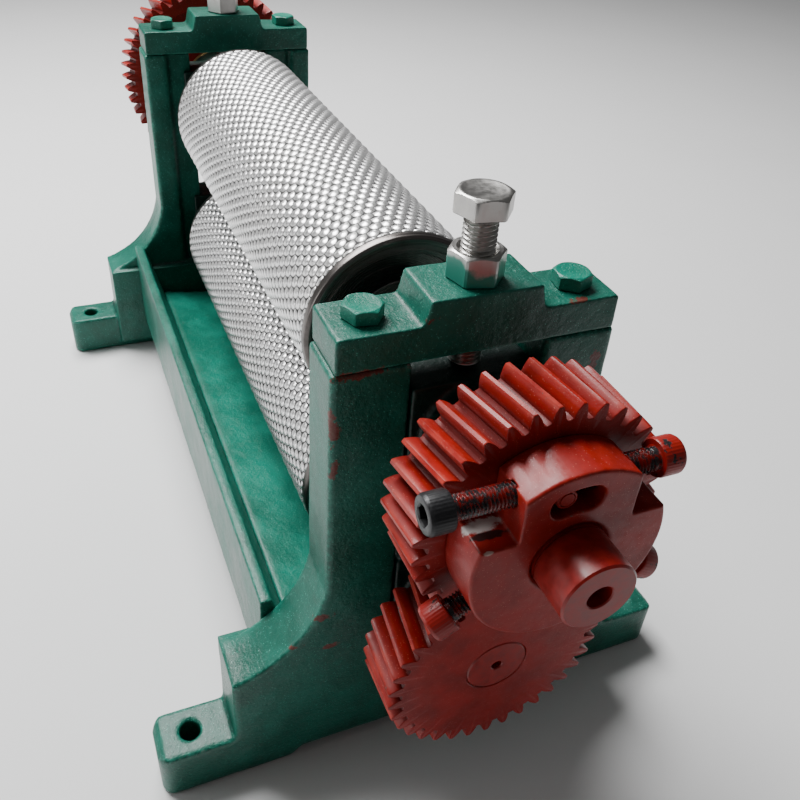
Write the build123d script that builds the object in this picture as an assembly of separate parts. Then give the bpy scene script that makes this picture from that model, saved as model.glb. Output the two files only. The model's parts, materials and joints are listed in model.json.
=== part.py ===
from build123d import *
from math import acos, cos, pi, radians, sin, tan
import os

# Roller mill that embosses beeswax sheet.  Millimetres.
# +X to the right and +Y to the rear as seen from the gear end, +Z up.
# Origin: middle of the four foot holes, on the surface the feet stand on.

# ---- driving dimensions ------------------------------------------------------
ROLLER_RADIUS = 42.8
ROLLER_FRONT_Y = -128.0
ROLLER_REAR_Y = 142.0
CENTRE_DISTANCE = 86.0
LOWER_AXIS_Z = 95.0
UPPER_AXIS_Z = LOWER_AXIS_Z + CENTRE_DISTANCE

SHAFT_RADIUS = 13.0
SHOULDER_RADIUS = 18.0
RUNNING_CLEARANCE = 0.05
FACE_CLEARANCE = 0.3
SEAT_GAP = 0.05
FIT_TOLERANCE = 0.01

CHEEK_OUTER_Y = 196.5
CHEEK_INNER_Y = 171.9
CHEEK_MIDDLE_Y = (CHEEK_OUTER_Y + CHEEK_INNER_Y) / 2
POST_HALF_WIDTH = 55.0
BASE_HALF_WIDTH = 95.0
FOOT_HALF_WIDTH = 128.5
FOOT_HEIGHT = 27.0
FOOT_CORNER = 6.0
FOOT_HOLE_X = 113.0
FOOT_HOLE_RADIUS = 4.5
ARCH_HALF_WIDTH = 70.0
ARCH_HEIGHT = 5.0
SHOULDER_LOW_Z = 65.0
SHOULDER_TOP_Z = 108.0
SHOULDER_MIDDLE = (69.0, 80.5)
JOINT_Z = 213.0
BASE_PAD_Y = 168.0
PANEL_HALF_WIDTH = 41.0
PANEL_DEPTH = 3.0
PANEL_LOW_Z = 67.0
CAST_ROUND = 1.6

WINDOW_HALF_WIDTH = 25.5
BLOCK_HALF_WIDTH = 25.1
BLOCK_HALF_HEIGHT = 21.0
BLOCK_FLANGE_HALF_WIDTH = 31.0
BLOCK_FLANGE_THICKNESS = 4.0
WINDOW_LOW_Z = LOWER_AXIS_Z - BLOCK_HALF_HEIGHT
BOSS_RADIUS = 20.5
BUSH_RADIUS = 17.0
BUSH_FLANGE = 3.0

CAP_HALF_WIDTH = 53.6
CAP_TOP_Z = 227.0
CAP_BOSS_Z = 236.0
CAP_BOSS_FOOT_X = 23.0
CAP_BOSS_TOP_X = 21.0
CAP_BOLT_X = 40.0
M8_RADIUS = 4.0
M8_FLATS = 13.0
M8_HEX_HEAD = 5.3
M8_SHANK = 34.0
M8_HOLE_DEPTH = 22.0
M8_SOCKET_HEAD_RADIUS = 6.5
M8_SOCKET_HEAD = 8.0
M8_SOCKET_FLATS = 6.0
M8_SOCKET_DEPTH = 4.5
HEX_BEVEL = (0.9, 1.4)
END_CHAMFER = 0.7
M12_RADIUS = 6.0
M12_FLATS = 18.0
M12_HEAD = 7.5
M12_NUT = 10.8
ADJUSTING_HEAD_Z = 259.5
FRONT_BOLT_TURNS = {"head": -10.0, "nut": -15.0, "left": -9.0, "right": 22.0}
REAR_BOLT_TURNS = {"head": -26.0, "nut": 9.0, "left": 16.0, "right": -25.0}

RAIL_OUTER_X = 76.3
RAIL_INNER_X = 70.6
RAIL_ROOT_X = 60.0
RAIL_LOW_Z = 27.0
RAIL_ROOT_Z = 46.0
RAIL_TOP_Z = 83.0
RAIL_ROUND = 1.2
TROUGH_FLOOR_Z = 40.0
TROUGH_THICKNESS = 5.0

SLEEVE_BORE = 37.0
FLANGE_RADIUS = 42.3
FLANGE_RIM = 5.0
FLANGE_LIP_RADIUS = 36.5
FLANGE_LIP_DEPTH = 3.0
FLANGE_RECESS_RADIUS = 33.5
FLANGE_HUB_RADIUS = 23.2
FLANGE_RECESS = 12.0
FLANGE_LENGTH = 20.0

TOOTH_COUNT = 34
DRIVE_TOOTH_COUNT = 47
PITCH_RADIUS = CENTRE_DISTANCE / 2
TRANSVERSE_MODULE = 2 * PITCH_RADIUS / TOOTH_COUNT
PRESSURE_ANGLE = 20.0
ADDENDUM = 2.75
DEDENDUM = 3.3
FLANK_BACKLASH = 0.07
FLANK_STEPS = 4
ROOT_ROUND = 0.4
ROOT_WIDENING = 0.25
TWIST_PER_MM = 0.202
UPPER_GEAR_Y = (-247.4, -221.4)
LOWER_GEAR_Y = (-241.2, -215.2)
DRIVE_GEAR_Y = (222.0, 247.0)
UPPER_FRONT_TOOTH = -3.25
DRIVE_WEB_DEPTH = 6.0
DRIVE_RIM_RADIUS = 49.0
DRIVE_HUB_RADIUS = 25.0
KEY_HALF_WIDTH = 4.0
KEY_Y = (224.0, 245.0)
KEY_RISE = (9.0, 16.0)

HUB_Y = (-265.0, -247.7)
HUB_RADIUS = 34.5
HUB_BLOCK_HALF_WIDTH = 20.0
HUB_LEDGE = 12.0
HUB_BORE_CHAMFER = 1.4
SLOT_RADIUS = 24.0
SLOT_HALF_WIDTH = 4.8
SLOT_FROM = 84.0
SLOT_TO = 105.5
STUD_ANGLE = 101.0
STUD_RADIUS = 3.5
STUD_Y = (-263.0, -233.0)
SCREW_Y = -256.0
SCREW_RISE = 24.5
LOCK_SCREW_ANGLES = (212.0, -32.0)
LOCK_SCREW_HEAD_R = 41.0
PHASE_SCREW_LENGTH = 31.6
PHASE_TIP_GAP = 0.3

UPPER_SHAFT_Y = (-282.0, 254.0)
LOWER_SHAFT_Y = (-241.2, 214.0)
SHAFT_CENTRE_DRILL = 4.4
SHAFT_DRILL_DEPTH = 14.0
LOWER_DRILL = 2.4
GROOVE_WIDTH = 0.8
GROOVE_DEPTH = 0.6

SPRING_RADIUS = 11.0
SPRING_WIRE = 2.5
SPRING_POCKET = 3.0

# ---- small helpers -----------------------------------------------------------


def block(x, y, z):
    """Box between pairs of coordinates."""
    size = (x[1] - x[0], y[1] - y[0], z[1] - z[0])
    middle = ((x[0] + x[1]) / 2, (y[0] + y[1]) / 2, (z[0] + z[1]) / 2)
    return Pos(*middle) * Box(*size)


def rod_y(radius, y, z, x=0.0):
    """Round bar along Y between two stations."""
    return Pos(x, (y[0] + y[1]) / 2, z) * Rot(90, 0, 0) * Cylinder(radius, y[1] - y[0])


def rod_z(radius, z, x, y):
    """Round bar along Z between two heights."""
    return Pos(x, y, (z[0] + z[1]) / 2) * Cylinder(radius, z[1] - z[0])


def slab(outline, y):
    """An outline drawn in X and Z, made solid between two stations along Y."""
    return extrude(Plane.XZ.offset(-y[1]) * outline, y[1] - y[0])


def hexagon(flats, z, x, y, turn):
    """Hexagonal prism with bevelled top corners.  turn is one corner's angle from +X, in degrees."""
    across_corners = flats / cos(radians(30))
    prism = extrude(RegularPolygon(across_corners / 2, 6), z[1] - z[0])
    dome = Pos(0, 0, (z[1] - z[0]) / 2) * Cylinder(across_corners / 2, z[1] - z[0])
    bevel = chamfer(dome.edges().group_by(Axis.Z)[-1], length=HEX_BEVEL[0], length2=HEX_BEVEL[1])
    return Pos(x, y, z[0]) * Rot(0, 0, turn) * (prism & bevel)


def solids_of(*shapes):
    """Several separate solids held in one node."""
    return Compound(children=list(shapes))


def save(node, shape):
    """Writes one node's STEP file."""
    export_step(shape, os.path.join("parts", node + ".step"))


# ---- gears -------------------------------------------------------------------


def involute(angle):
    """Roll of the tooth curve at a pressure angle, both in radians."""
    return tan(angle) - angle


def gear_outline(count, phase):
    """Corner points of a gear in one plane across its axis.  phase is one tooth's middle, in degrees."""
    pitch = count * TRANSVERSE_MODULE / 2
    base = pitch * cos(radians(PRESSURE_ANGLE))
    tip = pitch + ADDENDUM
    root = pitch - DEDENDUM
    flank_low = max(base, root + ROOT_ROUND)
    half_tooth = pi / (2 * count) - FLANK_BACKLASH / pitch
    at_pitch = half_tooth + involute(radians(PRESSURE_ANGLE))
    flank = []
    for step in range(FLANK_STEPS + 1):
        radius = flank_low + (tip - flank_low) * step / FLANK_STEPS
        half_angle = at_pitch - involute(acos(min(1.0, base / radius)))
        flank.append((radius, half_angle))
    root_half = flank[0][1] + ROOT_WIDENING * (pi / count - flank[0][1])
    profile = [(root, -root_half)]
    profile += [(radius, -half) for radius, half in flank]
    profile += [(radius, half) for radius, half in reversed(flank)]
    profile += [(root, root_half)]
    points = []
    for tooth in range(count):
        middle = radians(phase) + 2 * pi * tooth / count
        for radius, offset in profile:
            points.append((radius * cos(middle + offset), radius * sin(middle + offset)))
    return points


def helical_gear(count, y, front_phase, twist, axis_z):
    """Helical gear body between two stations, its front outline at front_phase."""
    width = y[1] - y[0]
    front = Polyline(gear_outline(count, front_phase), close=True)
    rear = Polyline(gear_outline(count, front_phase + twist * width), close=True)
    front_face = Plane.XZ.offset(-y[0]) * make_face(front)
    rear_face = Plane.XZ.offset(-y[1]) * make_face(rear)
    blank = loft([front_face, rear_face], ruled=True)
    return Pos(0, 0, axis_z) * blank


def upper_tooth_phase(y):
    """Angle of one tooth of the upper gear at a station along its axis, in degrees."""
    return UPPER_FRONT_TOOTH + TWIST_PER_MM * (y - UPPER_GEAR_Y[0])


def lower_tooth_phase(y):
    """Phase that puts a gap of the lower gear where the upper gear has a tooth."""
    pitch_angle = 360 / TOOTH_COUNT
    past_bottom = upper_tooth_phase(y) + 90
    return 90 - past_bottom + pitch_angle / 2


def upper_gear():
    y = UPPER_GEAR_Y
    gear = helical_gear(TOOTH_COUNT, y, upper_tooth_phase(y[0]), TWIST_PER_MM, UPPER_AXIS_Z)
    gear -= rod_y(SHAFT_RADIUS + RUNNING_CLEARANCE, (y[0] - 1, y[1] + 1), UPPER_AXIS_Z)
    stud_x = SLOT_RADIUS * cos(radians(STUD_ANGLE))
    stud_z = UPPER_AXIS_Z + SLOT_RADIUS * sin(radians(STUD_ANGLE))
    return gear - rod_y(STUD_RADIUS, (y[0] - 1, STUD_Y[1]), stud_z, stud_x)


def lower_gear():
    y = LOWER_GEAR_Y
    gear = helical_gear(TOOTH_COUNT, y, lower_tooth_phase(y[0]), -TWIST_PER_MM, LOWER_AXIS_Z)
    return gear - rod_y(SHAFT_RADIUS, (y[0] - 1, y[1] + 1), LOWER_AXIS_Z)


def drive_gear():
    """Larger gear behind the rear cheek, webbed on both faces."""
    y = DRIVE_GEAR_Y
    gear = helical_gear(DRIVE_TOOTH_COUNT, y, 0.0, TWIST_PER_MM, UPPER_AXIS_Z)
    for start in (y[0] - 1, y[1] - DRIVE_WEB_DEPTH):
        stretch = (start, start + DRIVE_WEB_DEPTH + 1)
        ring = rod_y(DRIVE_RIM_RADIUS, stretch, UPPER_AXIS_Z)
        gear -= ring - rod_y(DRIVE_HUB_RADIUS, stretch, UPPER_AXIS_Z)
    through = (y[0] - 1, y[1] + 1)
    return gear - rod_y(SHAFT_RADIUS, through, UPPER_AXIS_Z) - key_bar(through)


# ---- frame castings ----------------------------------------------------------


def cheek_half_outline():
    """Right half of a cheek as seen from its end, with the open window beside the middle."""
    edges = Polyline(
        (0, ARCH_HEIGHT),
        (ARCH_HALF_WIDTH - ARCH_HEIGHT, ARCH_HEIGHT),
        (ARCH_HALF_WIDTH, 0),
        (FOOT_HALF_WIDTH, 0),
        (FOOT_HALF_WIDTH, FOOT_HEIGHT - FOOT_CORNER / 2),
        (FOOT_HALF_WIDTH - FOOT_CORNER / 2, FOOT_HEIGHT),
        (BASE_HALF_WIDTH, FOOT_HEIGHT),
        (BASE_HALF_WIDTH, SHOULDER_LOW_Z),
    )
    edges += ThreePointArc(
        (BASE_HALF_WIDTH, SHOULDER_LOW_Z), SHOULDER_MIDDLE, (POST_HALF_WIDTH, SHOULDER_TOP_Z)
    )
    edges += Polyline(
        (POST_HALF_WIDTH, SHOULDER_TOP_Z),
        (POST_HALF_WIDTH, JOINT_Z),
        (WINDOW_HALF_WIDTH, JOINT_Z),
        (WINDOW_HALF_WIDTH, WINDOW_LOW_Z),
        (0, WINDOW_LOW_Z),
        (0, ARCH_HEIGHT),
    )
    return make_face(edges)


def rounded_foot_corners(casting):
    """Rounds the upright corners of the foot ears."""
    corners = [
        edge
        for edge in casting.edges().filter_by(Axis.Z)
        if abs(edge.center().X) > FOOT_HALF_WIDTH - 0.1
    ]
    return fillet(corners, FOOT_CORNER)


def cheek(front):
    """One upright end casting with feet, window and shoulders."""
    sign = -1 if front else 1
    inner = sign * CHEEK_INNER_Y
    half = cheek_half_outline()
    body = slab(half + mirror(half, about=Plane.YZ), sorted((sign * CHEEK_OUTER_Y, inner)))
    body = rounded_foot_corners(body)
    pad_y = sorted((sign * BASE_PAD_Y, inner))
    body += block((-BASE_HALF_WIDTH, BASE_HALF_WIDTH), pad_y, (ARCH_HEIGHT, SHOULDER_LOW_Z))
    panel_y = sorted((inner, inner + sign * PANEL_DEPTH))
    body -= block((-PANEL_HALF_WIDTH, PANEL_HALF_WIDTH), panel_y, (PANEL_LOW_Z, JOINT_Z + 1))
    middle = sign * CHEEK_MIDDLE_Y
    for side in (-1, 1):
        body -= rod_z(FOOT_HOLE_RADIUS, (-1, FOOT_HEIGHT + 1), side * FOOT_HOLE_X, middle)
        body -= rod_z(M8_RADIUS, (JOINT_Z - M8_HOLE_DEPTH, JOINT_Z + 1), side * CAP_BOLT_X, middle)
    return body


def cap(front):
    """Bridge over the window, with a raised middle that holds the adjusting bolt."""
    sign = -1 if front else 1
    stretch = sorted((sign * CHEEK_OUTER_Y, sign * CHEEK_INNER_Y))
    outline = Polyline(
        (-CAP_HALF_WIDTH, JOINT_Z),
        (CAP_HALF_WIDTH, JOINT_Z),
        (CAP_HALF_WIDTH, CAP_TOP_Z),
        (CAP_BOSS_FOOT_X, CAP_TOP_Z),
        (CAP_BOSS_TOP_X, CAP_BOSS_Z),
        (-CAP_BOSS_TOP_X, CAP_BOSS_Z),
        (-CAP_BOSS_FOOT_X, CAP_TOP_Z),
        (-CAP_HALF_WIDTH, CAP_TOP_Z),
        close=True,
    )
    bridge = slab(make_face(outline), stretch)
    bridge = fillet(bridge.edges().filter_by(Axis.Y).group_by(Axis.Z)[1:], CAST_ROUND)
    middle = sign * CHEEK_MIDDLE_Y
    bridge -= rod_z(M12_RADIUS + RUNNING_CLEARANCE, (JOINT_Z - 1, CAP_BOSS_Z + 1), 0, middle)
    for side in (-1, 1):
        bridge -= rod_z(M8_RADIUS, (JOINT_Z - 1, CAP_TOP_Z + 1), side * CAP_BOLT_X, middle)
    return bridge


def cap_bolts(front):
    """The two hexagon bolts that hold a cap down."""
    middle = (-1 if front else 1) * CHEEK_MIDDLE_Y
    turns = FRONT_BOLT_TURNS if front else REAR_BOLT_TURNS
    bolts = []
    for x, turn in ((-CAP_BOLT_X, turns["left"]), (CAP_BOLT_X, turns["right"])):
        head = hexagon(M8_FLATS, (CAP_TOP_Z, CAP_TOP_Z + M8_HEX_HEAD), x, middle, turn)
        bolts.append(head + rod_z(M8_RADIUS, (CAP_TOP_Z - M8_SHANK, CAP_TOP_Z), x, middle))
    return solids_of(*bolts)


def rail(side):
    """Side rail with an upright outer face and an inner face that leans in below."""
    outline = Polyline(
        (side * RAIL_OUTER_X, RAIL_LOW_Z),
        (side * RAIL_OUTER_X, RAIL_TOP_Z),
        (side * RAIL_INNER_X, RAIL_TOP_Z),
        (side * RAIL_ROOT_X, RAIL_ROOT_Z),
        (side * RAIL_ROOT_X, RAIL_LOW_Z),
        close=True,
    )
    bar = slab(make_face(outline), (-CHEEK_INNER_Y, CHEEK_INNER_Y))
    reach = (min(0, side * BASE_HALF_WIDTH), max(0, side * BASE_HALF_WIDTH))
    for end in (-1, 1):
        pad_y = sorted((end * BASE_PAD_Y, end * (CHEEK_INNER_Y + 1)))
        bar -= block(reach, pad_y, (0, SHOULDER_LOW_Z))
    top = bar.edges().filter_by(Axis.Y).group_by(Axis.Z)[-1]
    return fillet(top, RAIL_ROUND)


def drip_trough():
    """Shallow curved tray between the rails, under the lower roller."""
    bottom = TROUGH_FLOOR_Z - TROUGH_THICKNESS
    upper = ThreePointArc((-RAIL_ROOT_X, RAIL_ROOT_Z), (0, TROUGH_FLOOR_Z), (RAIL_ROOT_X, RAIL_ROOT_Z))
    lower = Polyline(
        (RAIL_ROOT_X, RAIL_ROOT_Z),
        (RAIL_ROOT_X, bottom),
        (-RAIL_ROOT_X, bottom),
        (-RAIL_ROOT_X, RAIL_ROOT_Z),
    )
    return slab(make_face(upper + lower), (-BASE_PAD_Y, BASE_PAD_Y))


# ---- bearings ----------------------------------------------------------------


def boss_reach(front, upper):
    """How far a bearing stands out towards its gear."""
    if upper:
        gear_face = -UPPER_GEAR_Y[1] if front else DRIVE_GEAR_Y[0]
    else:
        gear_face = -LOWER_GEAR_Y[1]
    return gear_face - FACE_CLEARANCE


def bearing_block(front, upper):
    """Block that fits the window, with an inner flange and an outer boss."""
    sign = -1 if front else 1
    axis_z = UPPER_AXIS_Z if upper else LOWER_AXIS_Z
    height = (axis_z - BLOCK_HALF_HEIGHT, axis_z + BLOCK_HALF_HEIGHT)
    panel = CHEEK_INNER_Y + PANEL_DEPTH
    body_y = sorted((sign * CHEEK_OUTER_Y, sign * (panel - FACE_CLEARANCE)))
    flange_end = panel - FACE_CLEARANCE
    flange_y = sorted((sign * flange_end, sign * (flange_end - BLOCK_FLANGE_THICKNESS)))
    boss_y = sorted((sign * CHEEK_OUTER_Y, sign * (boss_reach(front, upper) - BUSH_FLANGE)))
    body = block((-BLOCK_HALF_WIDTH, BLOCK_HALF_WIDTH), body_y, height)
    body += block((-BLOCK_FLANGE_HALF_WIDTH, BLOCK_FLANGE_HALF_WIDTH), flange_y, height)
    body += rod_y(BOSS_RADIUS, boss_y, axis_z)
    body -= rod_y(BUSH_RADIUS, (min(boss_y[0], flange_y[0]) - 1, max(boss_y[1], flange_y[1]) + 1), axis_z)
    pocket_z = height[0] if upper else height[1]
    pocket = (pocket_z - SPRING_POCKET, pocket_z + SPRING_POCKET)
    return body - rod_z(SPRING_RADIUS + 0.5, pocket, 0, sign * (CHEEK_MIDDLE_Y + 2))


def bush(front, upper):
    """Flanged bronze bush pressed into a bearing block."""
    sign = -1 if front else 1
    axis_z = UPPER_AXIS_Z if upper else LOWER_AXIS_Z
    inner = CHEEK_INNER_Y + PANEL_DEPTH - FACE_CLEARANCE - BLOCK_FLANGE_THICKNESS
    outer = boss_reach(front, upper)
    sleeve_y = sorted((sign * inner, sign * outer))
    flange_y = sorted((sign * (outer - BUSH_FLANGE), sign * outer))
    body = rod_y(BUSH_RADIUS, sleeve_y, axis_z) + rod_y(BOSS_RADIUS, flange_y, axis_z)
    return body - rod_y(SHAFT_RADIUS + RUNNING_CLEARANCE, (sleeve_y[0] - 1, sleeve_y[1] + 1), axis_z)


def lift_spring(front):
    """Closed sleeve that fills the space of the coil spring between two bearing blocks."""
    middle = (-1 if front else 1) * (CHEEK_MIDDLE_Y + 2)
    low = LOWER_AXIS_Z + BLOCK_HALF_HEIGHT - SPRING_POCKET
    high = UPPER_AXIS_Z - BLOCK_HALF_HEIGHT + SPRING_POCKET
    coil = rod_z(SPRING_RADIUS, (low, high), 0, middle)
    return coil - rod_z(SPRING_RADIUS - SPRING_WIRE, (low - 1, high + 1), 0, middle)


# ---- adjusting bolts ---------------------------------------------------------


def adjusting_bolt(front):
    """Bolt that presses the upper bearing block down through the cap."""
    middle = (-1 if front else 1) * CHEEK_MIDDLE_Y
    tip = UPPER_AXIS_Z + BLOCK_HALF_HEIGHT + SEAT_GAP
    turn = (FRONT_BOLT_TURNS if front else REAR_BOLT_TURNS)["head"]
    head = hexagon(M12_FLATS, (ADJUSTING_HEAD_Z, ADJUSTING_HEAD_Z + M12_HEAD), 0, middle, turn)
    return head + rod_z(M12_RADIUS, (tip, ADJUSTING_HEAD_Z), 0, middle)


def locknut(front):
    """Nut that locks the adjusting bolt on the cap's raised middle."""
    middle = (-1 if front else 1) * CHEEK_MIDDLE_Y
    height = (CAP_BOSS_Z + SEAT_GAP, CAP_BOSS_Z + SEAT_GAP + M12_NUT)
    turn = (FRONT_BOLT_TURNS if front else REAR_BOLT_TURNS)["nut"]
    nut = hexagon(M12_FLATS, height, 0, middle, turn)
    return nut - rod_z(M12_RADIUS + RUNNING_CLEARANCE, (height[0] - 1, height[1] + 1), 0, middle)


# ---- rollers and shafts ------------------------------------------------------


def roller_shell(axis_z):
    """Embossing sleeve between the two end flanges."""
    stretch = (ROLLER_FRONT_Y + FLANGE_RIM, ROLLER_REAR_Y - FLANGE_RIM)
    bore = rod_y(SLEEVE_BORE, (stretch[0] - 1, stretch[1] + 1), axis_z)
    return rod_y(ROLLER_RADIUS, stretch, axis_z) - bore


def end_flange(axis_z, end_y, inward):
    """Turned steel flange: rim at the roller's end, recessed web and a hub on the shaft."""
    rim = sorted((end_y, end_y + inward * FLANGE_RIM))
    plug = sorted((end_y, end_y + inward * FLANGE_LENGTH))
    recess = sorted((end_y - inward, end_y + inward * FLANGE_RECESS))
    body = rod_y(FLANGE_RADIUS, rim, axis_z) + rod_y(SLEEVE_BORE, plug, axis_z)
    mouth = sorted((end_y - inward, end_y + inward * FLANGE_LIP_DEPTH))
    body -= rod_y(FLANGE_RECESS_RADIUS, recess, axis_z) - rod_y(FLANGE_HUB_RADIUS, recess, axis_z)
    body -= rod_y(FLANGE_LIP_RADIUS, mouth, axis_z) - rod_y(FLANGE_HUB_RADIUS, mouth, axis_z)
    return body - rod_y(SHOULDER_RADIUS, (plug[0] - 1, plug[1] + 1), axis_z)


def end_flanges(axis_z):
    """Front and rear flange of one roller."""
    return solids_of(
        end_flange(axis_z, ROLLER_FRONT_Y, 1),
        end_flange(axis_z, ROLLER_REAR_Y, -1),
    )


def key_bar(y):
    """Bar of the drive gear's key section, between two stations."""
    rise = (UPPER_AXIS_Z + KEY_RISE[0], UPPER_AXIS_Z + KEY_RISE[1])
    return block((-KEY_HALF_WIDTH, KEY_HALF_WIDTH), y, rise)


def hub_groove():
    """Ring cut into the upper shaft just outside the hub; the shaft's free end starts there."""
    stretch = (HUB_Y[0] - GROOVE_WIDTH, HUB_Y[0])
    return rod_y(SHAFT_RADIUS + 1, stretch, UPPER_AXIS_Z) - rod_y(SHAFT_RADIUS - GROOVE_DEPTH, stretch, UPPER_AXIS_Z)


def shaft(axis_z, y, drill):
    """Shaft with a thicker middle that carries the flanges and locates between the bearings."""
    shoulder = CHEEK_INNER_Y + PANEL_DEPTH - FACE_CLEARANCE - BLOCK_FLANGE_THICKNESS - FACE_CLEARANCE
    bar = rod_y(SHAFT_RADIUS, y, axis_z)
    bar = chamfer(bar.edges().group_by(Axis.Y)[0], END_CHAMFER)
    bar += rod_y(SHOULDER_RADIUS, (-shoulder, shoulder), axis_z)
    return bar - rod_y(drill, (y[0] - 1, y[0] + SHAFT_DRILL_DEPTH), axis_z)


# ---- phase adjustment --------------------------------------------------------


def slot_cutter():
    """Curved slot round the shaft, with round ends."""
    reach = (HUB_Y[0] - 1, HUB_Y[1] + 1)
    ring = rod_y(SLOT_RADIUS + SLOT_HALF_WIDTH, reach, 0) - rod_y(SLOT_RADIUS - SLOT_HALF_WIDTH, reach, 0)
    far = 2 * HUB_RADIUS
    sector = make_face(
        Polyline(
            (0, 0),
            (far * cos(radians(SLOT_FROM)), far * sin(radians(SLOT_FROM))),
            (far * cos(radians(SLOT_TO)), far * sin(radians(SLOT_TO))),
            close=True,
        )
    )
    cutter = ring & slab(sector, reach)
    for angle in (SLOT_FROM, SLOT_TO):
        end_x = SLOT_RADIUS * cos(radians(angle))
        end_z = SLOT_RADIUS * sin(radians(angle))
        cutter += rod_y(SLOT_HALF_WIDTH, reach, end_z, end_x)
    return cutter


def radial_rod(radius, reach, angle):
    """Round bar that points away from the shaft, between two distances from it."""
    bar = Pos((reach[0] + reach[1]) / 2, 0, 0) * Rot(0, 90, 0) * Cylinder(radius, reach[1] - reach[0])
    return Pos(0, SCREW_Y, 0) * Rot(0, -angle, 0) * bar


def phase_hub():
    """Adjusting hub clamped on the upper shaft: round, with a notch each side of its slotted block."""
    hub = rod_y(HUB_RADIUS, HUB_Y, 0)
    hub = chamfer(hub.edges().group_by(Axis.Y)[0], END_CHAMFER)
    for side in (-1, 1):
        notch_x = sorted((side * HUB_BLOCK_HALF_WIDTH, side * 2 * HUB_RADIUS))
        hub -= block(notch_x, (HUB_Y[0] - 1, HUB_Y[1] + 1), (HUB_LEDGE, 2 * HUB_RADIUS))
    hub -= rod_y(SHAFT_RADIUS, (HUB_Y[0] - 1, HUB_Y[1] + 1), 0)
    circles = hub.edges().filter_by(GeomType.CIRCLE)
    mouth = circles.filter_by(lambda edge: abs(edge.radius - SHAFT_RADIUS) < FIT_TOLERANCE)
    hub = chamfer(mouth.group_by(Axis.Y)[0], HUB_BORE_CHAMFER)
    hub -= slot_cutter()
    threads = Cylinder(M8_RADIUS + RUNNING_CLEARANCE, 2 * HUB_RADIUS)
    hub -= Pos(0, SCREW_Y, SCREW_RISE) * Rot(0, 90, 0) * threads
    for angle in LOCK_SCREW_ANGLES:
        hub -= radial_rod(M8_RADIUS, (SHAFT_RADIUS - 1, HUB_RADIUS + 2), angle)
    return Pos(0, 0, UPPER_AXIS_Z) * hub


def socket_screw(length):
    """Socket-head screw along +X, its tip at the origin and its head at the far end."""
    shank = Pos(length / 2, 0, 0) * Rot(0, 90, 0) * Cylinder(M8_RADIUS, length)
    shank = chamfer(shank.edges().group_by(Axis.X)[0], END_CHAMFER)
    barrel = Cylinder(M8_SOCKET_HEAD_RADIUS, M8_SOCKET_HEAD)
    head = Pos(length + M8_SOCKET_HEAD / 2, 0, 0) * Rot(0, 90, 0) * barrel
    head = chamfer(head.edges().group_by(Axis.X)[-1], END_CHAMFER)
    key = extrude(RegularPolygon(M8_SOCKET_FLATS / 2, 6, major_radius=False), M8_SOCKET_HEAD)
    socket = Pos(length + M8_SOCKET_HEAD - M8_SOCKET_DEPTH, 0, 0) * Rot(0, 90, 0) * key
    return shank + head - socket


def phase_screw(left):
    """Screw that bears on the stud from one side."""
    stud_x = SLOT_RADIUS * cos(radians(STUD_ANGLE))
    turn = Rot(0, 0, 180) if left else Rot(0, 0, 0)
    side = -1 if left else 1
    tip_x = stud_x + side * (STUD_RADIUS + PHASE_TIP_GAP)
    return Pos(tip_x, SCREW_Y, UPPER_AXIS_Z + SCREW_RISE) * turn * socket_screw(PHASE_SCREW_LENGTH)


def hub_lock_screws():
    """Two screws that clamp the hub on its shaft from below."""
    screws = []
    for angle in LOCK_SCREW_ANGLES:
        tip = SHAFT_RADIUS + SEAT_GAP
        screw = Pos(tip, 0, 0) * socket_screw(LOCK_SCREW_HEAD_R - tip)
        screws.append(Pos(0, SCREW_Y, UPPER_AXIS_Z) * Rot(0, -angle, 0) * screw)
    return solids_of(*screws)


def phase_stud():
    """Stud in the upper gear that stands in the hub's slot."""
    stud_x = SLOT_RADIUS * cos(radians(STUD_ANGLE))
    stud_z = UPPER_AXIS_Z + SLOT_RADIUS * sin(radians(STUD_ANGLE))
    pin = rod_y(STUD_RADIUS, STUD_Y, stud_z, stud_x)
    return chamfer(pin.edges().group_by(Axis.Y)[0], END_CHAMFER)


# ---- write every node --------------------------------------------------------


def main():
    os.makedirs("parts", exist_ok=True)
    for front in (True, False):
        end = "front" if front else "rear"
        save(end + "_cheek", cheek(front))
        save(end + "_cap", cap(front))
        save(end + "_cap_bolts", cap_bolts(front))
        save(end + "_upper_bearing_block", bearing_block(front, True))
        save(end + "_lower_bearing_block", bearing_block(front, False))
        save(end + "_upper_bush", bush(front, True))
        save(end + "_lower_bush", bush(front, False))
        save(end + "_lift_spring", lift_spring(front))
        save(end + "_adjusting_bolt", adjusting_bolt(front))
        save(end + "_locknut", locknut(front))
    save("left_rail", rail(-1))
    save("right_rail", rail(1))
    save("drip_trough", drip_trough())
    save("upper_roller_shell", roller_shell(UPPER_AXIS_Z))
    save("lower_roller_shell", roller_shell(LOWER_AXIS_Z))
    save("upper_roller_flanges", end_flanges(UPPER_AXIS_Z))
    save("lower_roller_flanges", end_flanges(LOWER_AXIS_Z))
    upper_shaft = shaft(UPPER_AXIS_Z, UPPER_SHAFT_Y, SHAFT_CENTRE_DRILL)
    save("upper_shaft", upper_shaft - key_bar(KEY_Y) - hub_groove())
    save("drive_gear_key", key_bar(KEY_Y))
    save("lower_shaft", shaft(LOWER_AXIS_Z, LOWER_SHAFT_Y, LOWER_DRILL))
    save("upper_gear", upper_gear())
    save("lower_gear", lower_gear())
    save("drive_gear", drive_gear())
    save("phase_hub", phase_hub())
    save("phase_stud", phase_stud())
    save("left_phase_screw", phase_screw(True))
    save("right_phase_screw", phase_screw(False))
    save("hub_lock_screws", hub_lock_screws())


main()
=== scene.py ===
# %% [markdown]
# # A roller mill for beeswax sheets
#
# The machine presses warm beeswax between two rollers that are covered in honeycomb cells. This
# notebook dresses its CAD frame: rough painted castings, turned steel, cut gears and an embossed
# alloy surface. Every place comes from the frame, in metres, so nothing has to be fitted by eye.

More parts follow.
